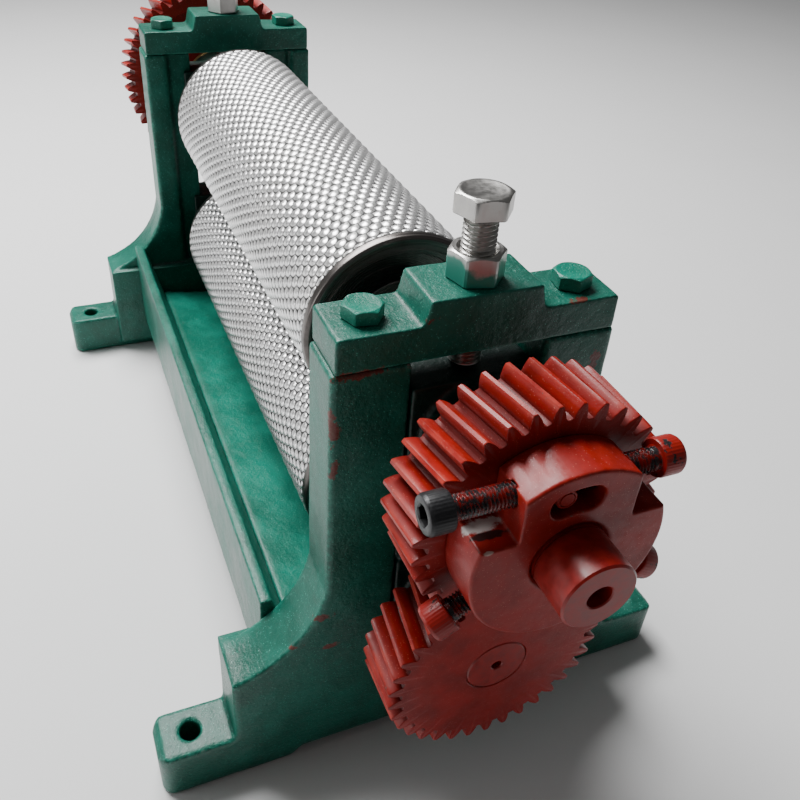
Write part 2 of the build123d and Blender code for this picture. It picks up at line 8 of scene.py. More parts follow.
# %% The frame
import json
import math

import bmesh
import bpy
import numpy as np
from mathutils import Matrix, Vector


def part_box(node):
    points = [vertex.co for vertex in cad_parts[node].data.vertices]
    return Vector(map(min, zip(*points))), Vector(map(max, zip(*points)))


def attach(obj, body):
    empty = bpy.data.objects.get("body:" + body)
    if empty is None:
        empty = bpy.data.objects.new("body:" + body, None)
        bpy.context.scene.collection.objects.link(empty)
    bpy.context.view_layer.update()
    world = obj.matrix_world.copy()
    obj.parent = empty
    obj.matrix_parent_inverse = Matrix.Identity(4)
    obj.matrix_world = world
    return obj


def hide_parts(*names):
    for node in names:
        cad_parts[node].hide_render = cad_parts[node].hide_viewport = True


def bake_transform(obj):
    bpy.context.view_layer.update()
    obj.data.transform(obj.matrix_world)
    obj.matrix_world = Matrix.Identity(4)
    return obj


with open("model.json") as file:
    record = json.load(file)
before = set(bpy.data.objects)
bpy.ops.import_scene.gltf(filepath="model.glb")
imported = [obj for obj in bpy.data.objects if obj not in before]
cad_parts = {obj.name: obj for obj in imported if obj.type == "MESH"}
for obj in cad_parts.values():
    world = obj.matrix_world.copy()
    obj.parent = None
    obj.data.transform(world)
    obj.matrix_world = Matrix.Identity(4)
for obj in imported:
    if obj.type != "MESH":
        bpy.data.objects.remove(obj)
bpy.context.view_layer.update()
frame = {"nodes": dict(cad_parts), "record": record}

# %% [markdown]
# ## Reading the frame
#
# A shaft's axis is the middle of its box, and a gear's width is its box along Y. Two small helpers
# turn boxes into such numbers once, so that later cells speak of axes and stretches.

# %% Axes and stretches
MM = 0.001


def axis_height(node):
    """Height of the middle of a node's box."""
    low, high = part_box(node)
    return (low[2] + high[2]) / 2


def stretch(node):
    """First and last Y of a node."""
    low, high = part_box(node)
    return low[1], high[1]


UPPER_Z = axis_height("upper_shaft")
LOWER_Z = axis_height("lower_shaft")
SHAFT_R = 13.0 * MM
SHOULDER_R = 18.0 * MM
ROLLER_R = (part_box("upper_roller_shell")[1][0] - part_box("upper_roller_shell")[0][0]) / 2
print("axes at", round(UPPER_Z, 4), round(LOWER_Z, 4), "roller radius", round(ROLLER_R, 4))

# %% [markdown]
# ## Noise for shapes
#
# Sand castings are never flat. The lumps are real geometry here, so they need a smooth random field
# in space. A lattice of random numbers, blended between its corners with an S-curve, gives one, and
# whole arrays of points can be looked up at once.

# %% A smooth random field
LATTICE_SIZE = 32
LATTICE = np.random.default_rng(7).uniform(-1.0, 1.0, (LATTICE_SIZE,) * 3)


def field(points, size):
    """Value noise: each point is blended from the eight corners of its lattice cell of that size,
    with weights t*t*(3 - 2t) along each axis."""
    place = points / size
    cell = np.floor(place).astype(int)
    part = place - cell
    part = part * part * (3 - 2 * part)
    total = np.zeros(len(points))
    for dx in (0, 1):
        for dy in (0, 1):
            for dz in (0, 1):
                weight = np.abs(1 - np.array([dx, dy, dz]) - part)
                corner = (cell + (dx, dy, dz)) % LATTICE_SIZE
                total += weight[:, 0] * weight[:, 1] * weight[:, 2] * LATTICE[tuple(corner.T)]
    return total


TRIAL = field(np.random.default_rng(1).random((999, 3)), 0.1)
print("field spans", round(TRIAL.min(), 2), "to", round(TRIAL.max(), 2))

# %% [markdown]
# ## Putting arrays into meshes
#
# All new pieces are grids: a row of points carried along a path. One helper stores such a grid as a
# mesh, closing it around when asked, and another makes the object and says which body it rides on.

# %% Grid to mesh, mesh to piece


def grid_faces(rows, columns, closed_rows, closed_columns):
    """Quads that join each grid point to the next along its row and its column."""
    down = np.arange(rows if closed_rows else rows - 1)[:, None]
    along = np.arange(columns if closed_columns else columns - 1)[None, :]
    below = (down + 1) % rows
    right = (along + 1) % columns
    here, there = down * columns, below * columns
    corners = (here + along, here + right, there + right, there + along)
    shape = (len(down), along.shape[1])
    return np.stack([np.broadcast_to(corner, shape) for corner in corners], -1).reshape(-1, 4)


def mesh_from(name, points, faces):
    """A mesh from an array of points and an array of faces with equal corner counts."""
    mesh = bpy.data.meshes.new(name)
    sides = faces.shape[1]
    mesh.vertices.add(len(points))
    mesh.vertices.foreach_set("co", np.ascontiguousarray(points, dtype=np.float32).ravel())
    mesh.loops.add(faces.size)
    mesh.loops.foreach_set("vertex_index", faces.ravel().astype(np.int32))
    mesh.polygons.add(len(faces))
    mesh.polygons.foreach_set("loop_start", np.arange(0, faces.size, sides, dtype=np.int32))
    mesh.update(calc_edges=True)
    mesh.validate()
    return mesh


def turn_outwards(mesh, *steps):
    """Runs any steps on the mesh's editable copy, then turns every face outwards."""
    work = bmesh.new()
    work.from_mesh(mesh)
    for step in steps:
        step(work)
    bmesh.ops.recalc_face_normals(work, faces=work.faces)
    work.to_mesh(mesh)
    work.free()


def tidy_mesh(mesh, merge=1e-6):
    """Merges doubled points and turns every face outwards."""
    def merge_points(work):
        bmesh.ops.remove_doubles(work, verts=work.verts, dist=merge)
        bmesh.ops.dissolve_degenerate(work, edges=work.edges, dist=merge / 2)

    turn_outwards(mesh, merge_points)


def mark_points(mesh, name, values):
    """Stores one number per point as a named attribute, for materials to read."""
    attribute = mesh.attributes.new(name, "FLOAT", "POINT")
    attribute.data.foreach_set("value", np.asarray(values, np.float32))


def open_edges(work):
    """Edges that belong to one face only."""
    return [edge for edge in work.edges if edge.is_boundary]


def smooth_by_angle(mesh, degrees):
    """Smooth shading, but with a crisp line wherever two faces meet at more than that angle."""
    mesh.shade_smooth()
    work = bmesh.new()
    work.from_mesh(mesh)
    for edge in work.edges:
        if edge.is_manifold and edge.calc_face_angle(0.0) > math.radians(degrees):
            edge.smooth = False
    work.to_mesh(mesh)
    work.free()


def new_object(name, data):
    """An object in the scene for a mesh, a lamp or a camera."""
    made = bpy.data.objects.new(name, data)
    bpy.context.scene.collection.objects.link(made)
    return made


def piece(name, mesh, body, material, replaced=()):
    """An object for a finished mesh: it rides on a body, takes a slot and stands for CAD nodes."""
    mesh.materials.append(material)
    made = new_object(name, mesh)
    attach(made, body)
    if replaced:
        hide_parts(*replaced)
    print(name, len(mesh.vertices), "points", len(mesh.polygons), "faces on", body)
    return made

# %% [markdown]
# ## Building blocks of the materials
#
# Every finish here is a few effects mixed in its own way: fine glitter, brushed turning lines,
# smears, and worn edges. Each effect is a node group that puts out masks and heights only, and the
# shader itself stays in the material.

# %% Helpers for node groups


class Sketch:
    """A node tree with short calls for adding nodes and wiring them."""

    def __init__(self, tree):
        self.tree = tree

    def node(self, kind, inputs=(), **settings):
        """Adds a node, with its settings and with a value or a wire for each input."""
        made = self.tree.nodes.new(kind)
        for key, value in settings.items():
            setattr(made, key, value)
        for key, value in dict(inputs).items():
            self.feed(made.inputs[key], value)
        return made

    def feed(self, socket, value):
        """Wires an output into a socket, or stores a plain value in it."""
        if isinstance(value, bpy.types.NodeSocket):
            self.tree.links.new(value, socket)
        else:
            socket.default_value = value

    def noise(self, vector, scale, detail=2.0, rough=0.5, stretch_by=None):
        """Cloudy noise about 0.5, finer with scale."""
        if stretch_by:
            vector = self.node("ShaderNodeMapping", {"Vector": vector, "Scale": stretch_by}).outputs[0]
        inputs = {"Vector": vector, "Scale": scale, "Detail": detail, "Roughness": rough}
        return self.node("ShaderNodeTexNoise", inputs).outputs[0]

    def step(self, value, low, high, start=0.0, end=1.0):
        """S-curve from start, at low, to end, at high."""
        made = self.node("ShaderNodeMapRange", {"Value": value}, interpolation_type="SMOOTHSTEP")
        for index, number in enumerate((low, high, start, end)):
            self.feed(made.inputs[index + 1], number)
        return made.outputs[0]

    def math(self, operation, *values):
        """One step of arithmetic on numbers."""
        made = self.node("ShaderNodeMath", operation=operation)
        for socket, value in zip(made.inputs, values):
            self.feed(socket, value)
        return made.outputs[0]

    def vector_math(self, operation, *values):
        """One step of arithmetic on vectors."""
        inputs = dict(enumerate(values))
        return self.node("ShaderNodeVectorMath", inputs, operation=operation).outputs

    def times(self, first, second):
        """The product of two numbers."""
        return self.math("MULTIPLY", first, second)

    def mark(self, name):
        """A point attribute of the mesh."""
        return self.node("ShaderNodeAttribute", attribute_name=name).outputs["Fac"]

    def mix(self, factor, first, second):
        """A colour between the first, at factor 0, and the second, at 1."""
        made = self.node("ShaderNodeMix", data_type="RGBA")
        self.feed(made.inputs[0], factor)
        self.feed(made.inputs[6], first)
        self.feed(made.inputs[7], second)
        return made.outputs[2]

    def bump(self, height, strength, distance, normal=None):
        """A normal tilted by the slope of a height, on top of another normal."""
        inputs = {"Height": height, "Strength": strength, "Distance": distance}
        made = self.node("ShaderNodeBump", inputs)
        if normal:
            self.feed(made.inputs["Normal"], normal)
        return made.outputs[0]


def new_group(name, inputs, outputs):
    """A node group with float or vector inputs, ready for wiring."""
    tree = bpy.data.node_groups.new(name, "ShaderNodeTree")
    for label, kind, value in inputs:
        socket = tree.interface.new_socket(label, in_out="INPUT", socket_type="NodeSocket" + kind)
        if value is not None:
            socket.default_value = value
    for label, kind in outputs:
        tree.interface.new_socket(label, in_out="OUTPUT", socket_type="NodeSocket" + kind)
    sketch = Sketch(tree)
    return sketch, sketch.node("NodeGroupInput").outputs, sketch.node("NodeGroupOutput").inputs


def place_group(sketch, tree, inputs):
    """Adds a node group to a tree, wires its inputs and returns its outputs."""
    return sketch.node("ShaderNodeGroup", inputs, node_tree=tree).outputs


print("helpers ready")

# %% [markdown]
# ## Glitter and painted glints
#
# Thick enamel over rough metal glitters in hundreds of pin-points; here the glints are painted
# highlights in the colour. Voronoi cells about half a millimetre wide stand for the facets of the skin:
# a few of them are picked by their random colour, and each gets its own slight tilt as a height.

# %% The glitter group


def glitter_group():
    """Masks: Glint picks a share of small cells, where the materials paint glints as painted
    highlights; Height is an uneven skin.
    """
    sketch, given, result = new_group(
        "glitter",
        [("Vector", "Vector", None), ("Scale", "Float", 1600.0), ("Share", "Float", 0.06)],
        [("Glint", "Float"), ("Height", "Float")],
    )
    cells = sketch.node("ShaderNodeTexVoronoi", {"Vector": given["Vector"], "Scale": given["Scale"]})
    split = sketch.node("ShaderNodeSeparateColor", {"Color": cells.outputs["Color"]})
    threshold = sketch.math("SUBTRACT", 1.0, given["Share"])
    picked = sketch.math("GREATER_THAN", split.outputs[0], threshold)
    core = sketch.step(cells.outputs["Distance"], 0.25, 0.5, 1.0, 0.0)
    sketch.feed(result["Glint"], sketch.times(picked, core))
    sketch.feed(result["Height"], split.outputs[1])
    return sketch.tree


GLITTER = glitter_group()
GLINTS_PER_METRE = 2300.0
print("glitter group", len(GLITTER.nodes), "nodes")

# %% [markdown]
# ## Daubs of another paint
#
# The painter was careless: red got on the green castings. A daub is a ball around a place, broken up
# by noise so that its rim frays.

# %% The daub group


def daub_group():
    """Mask that is 1 inside a ragged ball round Centre, with axes stretched by Size."""
    sketch, given, result = new_group(
        "daub",
        [("Vector", "Vector", None), ("Centre", "Vector", (0, 0, 0)), ("Size", "Vector", (1, 1, 1)),
         ("Ragged", "Float", 0.8)],
        [("Mask", "Float")],
    )
    offset = sketch.vector_math("SUBTRACT", given["Vector"], given["Centre"])
    scaled = sketch.vector_math("DIVIDE", offset[0], given["Size"])
    reach = sketch.vector_math("LENGTH", scaled[0])["Value"]
    fray = sketch.noise(given["Vector"], 260.0, 4.0, 0.7)
    spread = sketch.math("MULTIPLY_ADD", sketch.math("SUBTRACT", fray, 0.5), given["Ragged"], 0.0)
    ragged = sketch.math("MULTIPLY_ADD", spread, 4.0, reach)
    sketch.feed(result["Mask"], sketch.step(ragged, 0.55, 0.85, 1.0, 0.0))
    return sketch.tree


DAUB = daub_group()
print("daub group", len(DAUB.nodes), "nodes")

# %% [markdown]
# ## Turning lines
#
# A lathe leaves fine rings round the axis. Noise that is stretched far across the axis and squeezed
# along the radius looks like them. Distance from the axis and place along it are worked out from
# object coordinates, so the rings stay on the metal as it turns.

# %% The turning group


def turning_group():
    """Lines: fine rings round an axis along Y at height Axis Z.  Cloud: slow variation."""
    sketch, given, result = new_group(
        "turning lines",
        [("Vector", "Vector", None), ("Axis Z", "Float", 0.0), ("Fineness", "Float", 5000.0)],
        [("Lines", "Float"), ("Cloud", "Float"), ("Radius", "Float")],
    )
    split = sketch.node("ShaderNodeSeparateXYZ", {0: given["Vector"]})
    rise = sketch.math("SUBTRACT", split.outputs[2], given["Axis Z"])
    across = sketch.times(split.outputs[0], split.outputs[0])
    square = sketch.math("ADD", across, sketch.times(rise, rise))
    radius = sketch.math("SQRT", square)
    along = sketch.math("ADD", radius, split.outputs[1])
    line_place = sketch.node("ShaderNodeCombineXYZ", {0: along, 1: sketch.times(rise, 0.01)})
    sketch.feed(result["Lines"], sketch.noise(line_place.outputs[0], given["Fineness"], 3.0, 0.6))
    sketch.feed(result["Cloud"], sketch.noise(given["Vector"], 60.0, 4.0, 0.6))
    sketch.feed(result["Radius"], radius)
    return sketch.tree


TURNING = turning_group()
print("turning group", len(TURNING.nodes), "nodes")

# %% [markdown]
# ## Green hammered enamel
#
# The castings wear one thick coat of teal enamel over sand-rough iron. It is glossy, with a fine
# skin. Its colour is paler on edges, partly thin paint and partly a painted highlight, nearly black in
# inner corners as painted shade, and it carries painted glints. Scratches of bare grey show on
# corners, which a point attribute called edge marks on the castings.

# %% The green enamel


def start_material(name):
    """A material with object coordinates ready, its shader, and a sketch to wire them."""
    material = bpy.data.materials.new(name)
    material.use_nodes = True
    tree = material.node_tree
    tree.nodes.clear()
    sketch = Sketch(tree)
    shader = sketch.node("ShaderNodeBsdfPrincipled")
    output = sketch.node("ShaderNodeOutputMaterial")
    tree.links.new(shader.outputs[0], output.inputs[0])
    place = sketch.node("ShaderNodeTexCoord").outputs["Object"]
    return material, sketch, shader.inputs, place


def surface(sketch, shader, colour, rough, normal, metallic=None):
    """Wires the values that change over the surface into the shader."""
    sketch.feed(shader["Base Color"], colour)
    sketch.feed(shader["Roughness"], rough)
    sketch.feed(shader["Normal"], normal)
    if metallic:
        sketch.feed(shader["Metallic"], metallic)


def set_constants(shader, **values):
    """Sets the values that are the same all over on the shader's own sockets."""
    for name, value in values.items():
        shader[name.replace("_", " ")].default_value = value


def green_enamel(name, daubs=(), shade=1.0):
    """Teal enamel, with ragged daubs of red where asked: (centre, size) in metres.  A shade scales the
    colour as painted light: below 1 it is painted shade for pieces deep in the windows, above 1 a
    painted brighter tone for pieces that face up into the light, such as the trough."""
    material, sketch, shader, place = start_material(name)
    glitter = place_group(sketch, GLITTER, {"Vector": place, "Scale": GLINTS_PER_METRE, "Share": 0.05})
    cloud = sketch.noise(place, 35.0, 5.0, 0.6)
    skin = sketch.noise(place, 620.0, 4.0, 0.65)
    edge = sketch.mark("edge")
    fray = sketch.noise(place, 420.0, 4.0, 0.7)
    deep = tuple(shade * part for part in (0.0010, 0.070, 0.046))
    clear = tuple(shade * part for part in (0.0025, 0.120, 0.082))
    base = sketch.mix(sketch.step(cloud, 0.35, 0.7), deep + (1,), clear + (1,))
    # Paler on outer edges: partly thin paint, partly a painted highlight.
    thin_and_highlit = sketch.times(sketch.step(edge, 0.55, 0.95), sketch.step(fray, 0.42, 0.62))
    pale = min(shade, 1.0)
    colour = sketch.mix(sketch.times(thin_and_highlit, 0.45 * pale), base, (0.05, 0.33, 0.24, 1))
    # Painted shade: nearly black in inner corners, where the edge attribute is low.
    painted_corner_shade = sketch.step(edge, 0.12, 0.42, 1.0, 0.0)
    colour = sketch.mix(sketch.times(painted_corner_shade, 0.8), colour, (0.001, 0.012, 0.009, 1))
    rare = sketch.step(sketch.noise(place, 150.0, 5.0, 0.75), 0.6, 0.66)
    chips = sketch.times(sketch.step(edge, 0.7, 0.98), rare)
    colour = sketch.mix(chips, colour, (0.20, 0.19, 0.17, 1))
    # Painted highlight: pale glints mixed into the colour on the picked cells.
    painted_glints = sketch.times(glitter["Glint"], 0.5 * pale)
    colour = sketch.mix(painted_glints, colour, (0.20, 0.75, 0.58, 1))
    for centre, size in daubs:
        mask = place_group(sketch, DAUB, {"Vector": place, "Centre": centre, "Size": size})["Mask"]
        colour = sketch.mix(sketch.times(mask, 0.75), colour, (0.17, 0.006, 0.005, 1))
    rough = sketch.step(cloud, 0.3, 0.8, 0.26, 0.42)
    rough = sketch.math("ADD", rough, sketch.times(skin, 0.10))
    rough = sketch.math("SUBTRACT", rough, sketch.times(glitter["Glint"], 0.15))
    lumps = sketch.bump(sketch.noise(place, 160.0, 3.0, 0.5), 0.55, 0.0008)
    fine = sketch.bump(skin, 0.7, 0.00045, lumps)
    surface(sketch, shader, colour, rough, sketch.bump(glitter["Height"], 0.35, 0.00012, fine))
    set_constants(shader, Specular_IOR_Level=0.30, Coat_Weight=0.08, Coat_Roughness=0.14)
    return material


FRONT_FACE_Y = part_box("front_cheek")[0][1]
POST_X = 0.055
RED_DAUBS = (
    ((-POST_X + 0.010, FRONT_FACE_Y, 0.2125), (0.012, 0.004, 0.0022)),
    ((-POST_X + 0.001, FRONT_FACE_Y, 0.192), (0.0030, 0.004, 0.009)),
    ((-POST_X + 0.002, FRONT_FACE_Y, 0.172), (0.0020, 0.004, 0.006)),
    ((-POST_X - 0.004, FRONT_FACE_Y, 0.094), (0.009, 0.004, 0.0022)),
    ((-POST_X - 0.018, FRONT_FACE_Y, 0.080), (0.009, 0.004, 0.0020)),
    ((-POST_X + 0.002, FRONT_FACE_Y, 0.074), (0.004, 0.004, 0.0020)),
    ((POST_X - 0.006, FRONT_FACE_Y, 0.199), (0.003, 0.004, 0.006)),
    ((-0.030, FRONT_FACE_Y, 0.229), (0.014, 0.005, 0.0015)),
    ((0.037, FRONT_FACE_Y, 0.227), (0.005, 0.004, 0.0015)),
)
GREEN = green_enamel("green enamel")
GREEN_DAUBED = green_enamel("green enamel with red daubs", RED_DAUBS)
# Painted light: a brightened copy for the trough and the cap bolts, and a darkened copy as painted
# shade for the bearing blocks deep in the windows.
GREEN_PAINTED_LIGHT = green_enamel("green enamel brightened as painted light", (), 1.8)
GREEN_PAINTED_SHADE = green_enamel("green enamel darkened as painted shade", (), 0.16)
print("green enamel", len(GREEN.node_tree.nodes), "nodes")

# %% [markdown]
# ## Red brushed enamel
#
# The gears, the hub and the screws were brushed by hand with a thick red. Brush marks follow no
# pattern. The colour is paler on sharp edges, partly thin film and partly a painted highlight, and
# darker in the roots and inner corners, partly pooled paint and partly painted shade. Small painted
# glints sit where the film is lumpy.

# %% The red enamel


DEEP_RED = (0.185, 0.0050, 0.0030, 1)
CLEAR_RED = (0.290, 0.0085, 0.0050, 1)


def red_enamel(name, axis_z, chips=0.62, marks=()):
    """Red enamel; chips sets how rare bare patches are, the axis places faint turning lines below it,
    and marks are ragged places of another colour: (centre, size, colour)."""
    material, sketch, shader, place = start_material(name)
    glitter = place_group(sketch, GLITTER, {"Vector": place, "Scale": GLINTS_PER_METRE, "Share": 0.045})
    cloud = sketch.noise(place, 70.0, 4.0, 0.6)
    drag = sketch.noise(place, 240.0, 4.0, 0.65, (1.0, 0.3, 1.0))
    edge = sketch.mark("edge")
    base = sketch.mix(sketch.step(cloud, 0.3, 0.7), DEEP_RED, CLEAR_RED)
    # Paler on sharp edges: partly thin film, partly a painted highlight.
    thin_and_highlit = sketch.times(sketch.step(edge, 0.55, 0.95), sketch.step(drag, 0.40, 0.62))
    colour = sketch.mix(sketch.times(thin_and_highlit, 0.35), base, (0.52, 0.060, 0.035, 1))
    # Darker in the roots and inner corners, where the edge attribute is low: partly pooled paint,
    # partly painted shade.
    pooled_and_shaded = sketch.step(edge, 0.10, 0.40, 1.0, 0.0)
    colour = sketch.mix(sketch.times(pooled_and_shaded, 0.65), colour, (0.045, 0.0015, 0.0012, 1))
    rare = sketch.step(sketch.noise(place, 190.0, 5.0, 0.75), chips, chips + 0.05)
    bare = sketch.times(sketch.step(edge, 0.6, 0.95), rare)
    colour = sketch.mix(bare, colour, (0.10, 0.060, 0.050, 1))
    # Painted highlight: pale glints mixed into the colour on the picked cells.
    colour = sketch.mix(sketch.times(glitter["Glint"], 0.35), colour, (0.75, 0.25, 0.18, 1))
    for centre, size, tone in marks:
        where = {"Vector": place, "Centre": centre, "Size": size, "Ragged": 0.35}
        colour = sketch.mix(place_group(sketch, DAUB, where)["Mask"], colour, tone)
    rough = sketch.step(drag, 0.3, 0.7, 0.34, 0.50)
    rough = sketch.math("ADD", rough, sketch.times(pooled_and_shaded, 0.1))
    sags = sketch.bump(sketch.noise(place, 120.0, 3.0, 0.5), 0.22, 0.0004)
    strokes = sketch.bump(drag, 0.35, 0.00015, sags)
    rings = {"Vector": place, "Axis Z": axis_z, "Fineness": 2200.0}
    strokes = sketch.bump(place_group(sketch, TURNING, rings)["Lines"], 0.12, 0.00006, strokes)
    surface(sketch, shader, colour, rough, sketch.bump(glitter["Height"], 0.25, 0.00008, strokes))
    set_constants(shader, Specular_IOR_Level=0.25, Coat_Weight=0.08, Coat_Roughness=0.15)
    return material


STUD_LOW, STUD_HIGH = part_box("phase_stud")
STUD_Z = (STUD_LOW[2] + STUD_HIGH[2]) / 2
GEAR_FACE_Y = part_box("upper_gear")[0][1]
LOWER_FACE_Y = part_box("lower_gear")[0][1]
# Painted shade: the gear face seen through the hub's slot is painted near black.
SLOT_PAINTED_SHADE = ((0.0, GEAR_FACE_Y, STUD_Z), (0.020, 0.0150, 0.0085), (0.012, 0.002, 0.002, 1))
PUNCHED = [((x, LOWER_FACE_Y, LOWER_Z + z), (size, size, size), (0.02, 0.003, 0.003, 1))
           for x, z, size in ((0.001, 0.0075, 0.0011), (0.0085, 0.009, 0.0012), (-0.012, 0.0, 0.0009))]
CENTRE_CHIP = ((0.0015, LOWER_FACE_Y, LOWER_Z - 0.0022), (0.0020, 0.002, 0.0012), (0.55, 0.42, 0.38, 1))
RED_UPPER = red_enamel("red enamel on the upper gear", UPPER_Z, 0.62, [SLOT_PAINTED_SHADE])
RED_LOWER = red_enamel("red enamel on the lower gear", LOWER_Z, 0.62, PUNCHED + [CENTRE_CHIP])
RED_DRIVE = red_enamel("red enamel on the drive gear", UPPER_Z, 0.66)
LEDGE_Z = UPPER_Z + 12 * MM
HUB_PATCHES = [
    ((-0.027, GEAR_FACE_Y - 0.0065, LEDGE_Z), (0.0095, 0.0036, 0.0030), (0.50, 0.46, 0.44, 1)),
    # Painted shadow: this dark strip on the ledge stands for the left phase screw's shadow.
    ((-0.027, GEAR_FACE_Y - 0.0110, LEDGE_Z), (0.0100, 0.0020, 0.0022), (0.020, 0.002, 0.002, 1)),
    ((-0.030, GEAR_FACE_Y - 0.0176, LEDGE_Z), (0.0030, 0.0012, 0.0012), (0.45, 0.30, 0.26, 1)),
]
RED_HUB = red_enamel("red enamel on the hub", UPPER_Z, 0.60, HUB_PATCHES)
RED_STUD = red_enamel("red enamel on the stud", STUD_Z)
print("red enamel", len(RED_UPPER.node_tree.nodes), "nodes")

# %% [markdown]
# ## Bare metals
#
# The embossed shell is a pale cast alloy: its raised facets are polished by use, and the grooves are
# coloured darker the deeper they lie, which a point attribute called depth marks. Turned steel has
# rings and dark oil. Zinc plate is bright with a little rust, and paint is smeared at the front nut's
# foot.

# %% The metals


def embossed_alloy():
    """Pale alloy, darker, rougher and less metallic where the attribute depth, roughened by a fine
    grain, marks a groove.
    """
    material, sketch, shader, place = start_material("embossed alloy")
    depth = sketch.mark("depth")
    cloud = sketch.noise(place, 22.0, 4.0, 0.6)
    grain = sketch.noise(place, 1500.0, 3.0, 0.6)
    # Darker, rougher and less metallic the deeper a point lies in a groove.
    groove_darkening = sketch.step(sketch.math("ADD", depth, sketch.times(grain, 0.25)), 0.46, 0.68)
    base = sketch.mix(cloud, (0.76, 0.75, 0.75, 1), (0.92, 0.92, 0.92, 1))
    waxed = sketch.step(sketch.noise(place, 9.0, 3.0, 0.6), 0.45, 0.75, 0.0, 0.35)
    warm = sketch.mix(waxed, base, (0.80, 0.72, 0.66, 1))
    colour = sketch.mix(groove_darkening, warm, (0.016, 0.015, 0.015, 1))
    rough = sketch.step(grain, 0.3, 0.7, 0.24, 0.40)
    rough = sketch.math("ADD", rough, sketch.times(groove_darkening, 0.25))
    metallic = sketch.step(groove_darkening, 0.0, 1.0, 0.85, 0.15)
    surface(sketch, shader, colour, rough, sketch.bump(grain, 0.35, 0.00006), metallic)
    return material


def turned_steel(name, axis_z, dark, light, red_before=None):
    """Turned steel round an axis; red paint covers it before a station along Y when one is given."""
    material, sketch, shader, place = start_material(name)
    turning = place_group(sketch, TURNING, {"Vector": place, "Axis Z": axis_z, "Fineness": 3600.0})
    oil = sketch.step(turning["Cloud"], 0.42, 0.68)
    metal = sketch.mix(turning["Lines"], dark, light)
    metal = sketch.mix(sketch.times(oil, 0.6), metal, (0.035, 0.030, 0.027, 1))
    rough = sketch.step(turning["Lines"], 0.25, 0.75, 0.22, 0.42)
    metallic = sketch.step(oil, 0.0, 1.0, 1.0, 0.75)
    line_height = turning["Lines"]
    normal = None
    if red_before is not None:
        split = sketch.node("ShaderNodeSeparateXYZ", {0: place})
        swing = sketch.math("SUBTRACT", sketch.noise(place, 180.0, 3.0), 0.5)
        wander = sketch.times(swing, 0.004)
        shore = sketch.math("ADD", split.outputs[1], wander)
        painted = sketch.math("LESS_THAN", shore, red_before)
        drag = sketch.noise(place, 240.0, 4.0, 0.65)
        red = sketch.mix(sketch.step(drag, 0.3, 0.7), DEEP_RED, CLEAR_RED)
        metal = sketch.mix(painted, metal, red)
        metallic = sketch.times(metallic, sketch.math("SUBTRACT", 1.0, painted))
        rough = sketch.mix(painted, rough, sketch.step(drag, 0.3, 0.7, 0.28, 0.42))
        filled = sketch.math("MULTIPLY_ADD", painted, -0.85, 1.0)
        line_height = sketch.times(line_height, filled)
        normal = sketch.bump(sketch.times(drag, painted), 0.25, 0.0002)
    surface(sketch, shader, metal, rough, sketch.bump(line_height, 0.4, 0.00008, normal), metallic)
    set_constants(shader, Specular_IOR_Level=0.4, Coat_Weight=0.05, Coat_Roughness=0.15)
    return material


def zinc_plate(name, smear_below=None):
    """Bright zinc; green paint is smeared below a height when one is given."""
    material, sketch, shader, place = start_material(name)
    cloud = sketch.noise(place, 120.0, 4.0, 0.6)
    scratch = sketch.noise(place, 420.0, 3.0, 0.6, (1.0, 1.0, 0.2))
    base = sketch.mix(cloud, (0.34, 0.33, 0.32, 1), (0.52, 0.51, 0.49, 1))
    rust = sketch.step(sketch.noise(place, 200.0, 5.0, 0.7), 0.60, 0.74)
    base = sketch.mix(sketch.times(rust, 0.25), base, (0.22, 0.15, 0.11, 1))
    rough = sketch.step(scratch, 0.3, 0.7, 0.28, 0.38)
    metallic = sketch.step(rust, 0.0, 1.0, 1.0, 0.7)
    if smear_below is not None:
        split = sketch.node("ShaderNodeSeparateXYZ", {0: place})
        lean = sketch.times(split.outputs[0], 0.45)
        level = sketch.math("ADD", sketch.math("ADD", split.outputs[2], lean),
                            sketch.times(sketch.math("SUBTRACT", cloud, 0.5), 0.010))
        smear = sketch.step(level, smear_below - 0.0012, smear_below + 0.0012, 1.0, 0.0)
        base = sketch.mix(smear, base, (0.012, 0.20, 0.145, 1))
        metallic = sketch.times(metallic, sketch.math("SUBTRACT", 1.0, smear))
    normal = sketch.bump(scratch, 0.15, 0.00004, sketch.bump(cloud, 0.12, 0.0001))
    surface(sketch, shader, base, rough, normal, metallic)
    return material


def screw_finish(name, head_cover):
    """Black oxide; red paint lies broken on the thread, which a point attribute called thread marks,
    and covers the head where noise is above head_cover."""
    material, sketch, shader, place = start_material(name)
    cloud = sketch.noise(place, 170.0, 4.0, 0.7)
    broken = sketch.noise(place, 330.0, 5.0, 0.75)
    grain = sketch.noise(place, 1300.0, 3.0, 0.6)
    thread = sketch.mark("thread")
    oxide = sketch.mix(grain, (0.008, 0.008, 0.009, 1), (0.030, 0.030, 0.032, 1))
    patches = sketch.step(cloud, head_cover - 0.02, head_cover + 0.02)
    on_head = sketch.times(patches, sketch.math("SUBTRACT", 1.0, thread))
    on_thread = sketch.times(sketch.step(broken, 0.46, 0.54), thread)
    cover = sketch.math("ADD", on_head, on_thread)
    red = sketch.mix(cloud, DEEP_RED, CLEAR_RED)
    red = sketch.mix(sketch.times(thread, 0.5), red, (0.030, 0.001, 0.001, 1))
    metallic = sketch.math("MULTIPLY_ADD", cover, -0.3, 0.3)
    rough = sketch.math("MULTIPLY_ADD", thread, -0.16, sketch.step(grain, 0.3, 0.7, 0.32, 0.46))
    normal = sketch.bump(cover, 0.4, 0.00012, sketch.bump(grain, 0.25, 0.00004))
    surface(sketch, shader, sketch.mix(cover, oxide, red), rough, normal, metallic)
    set_constants(shader, Specular_IOR_Level=0.4)
    return material


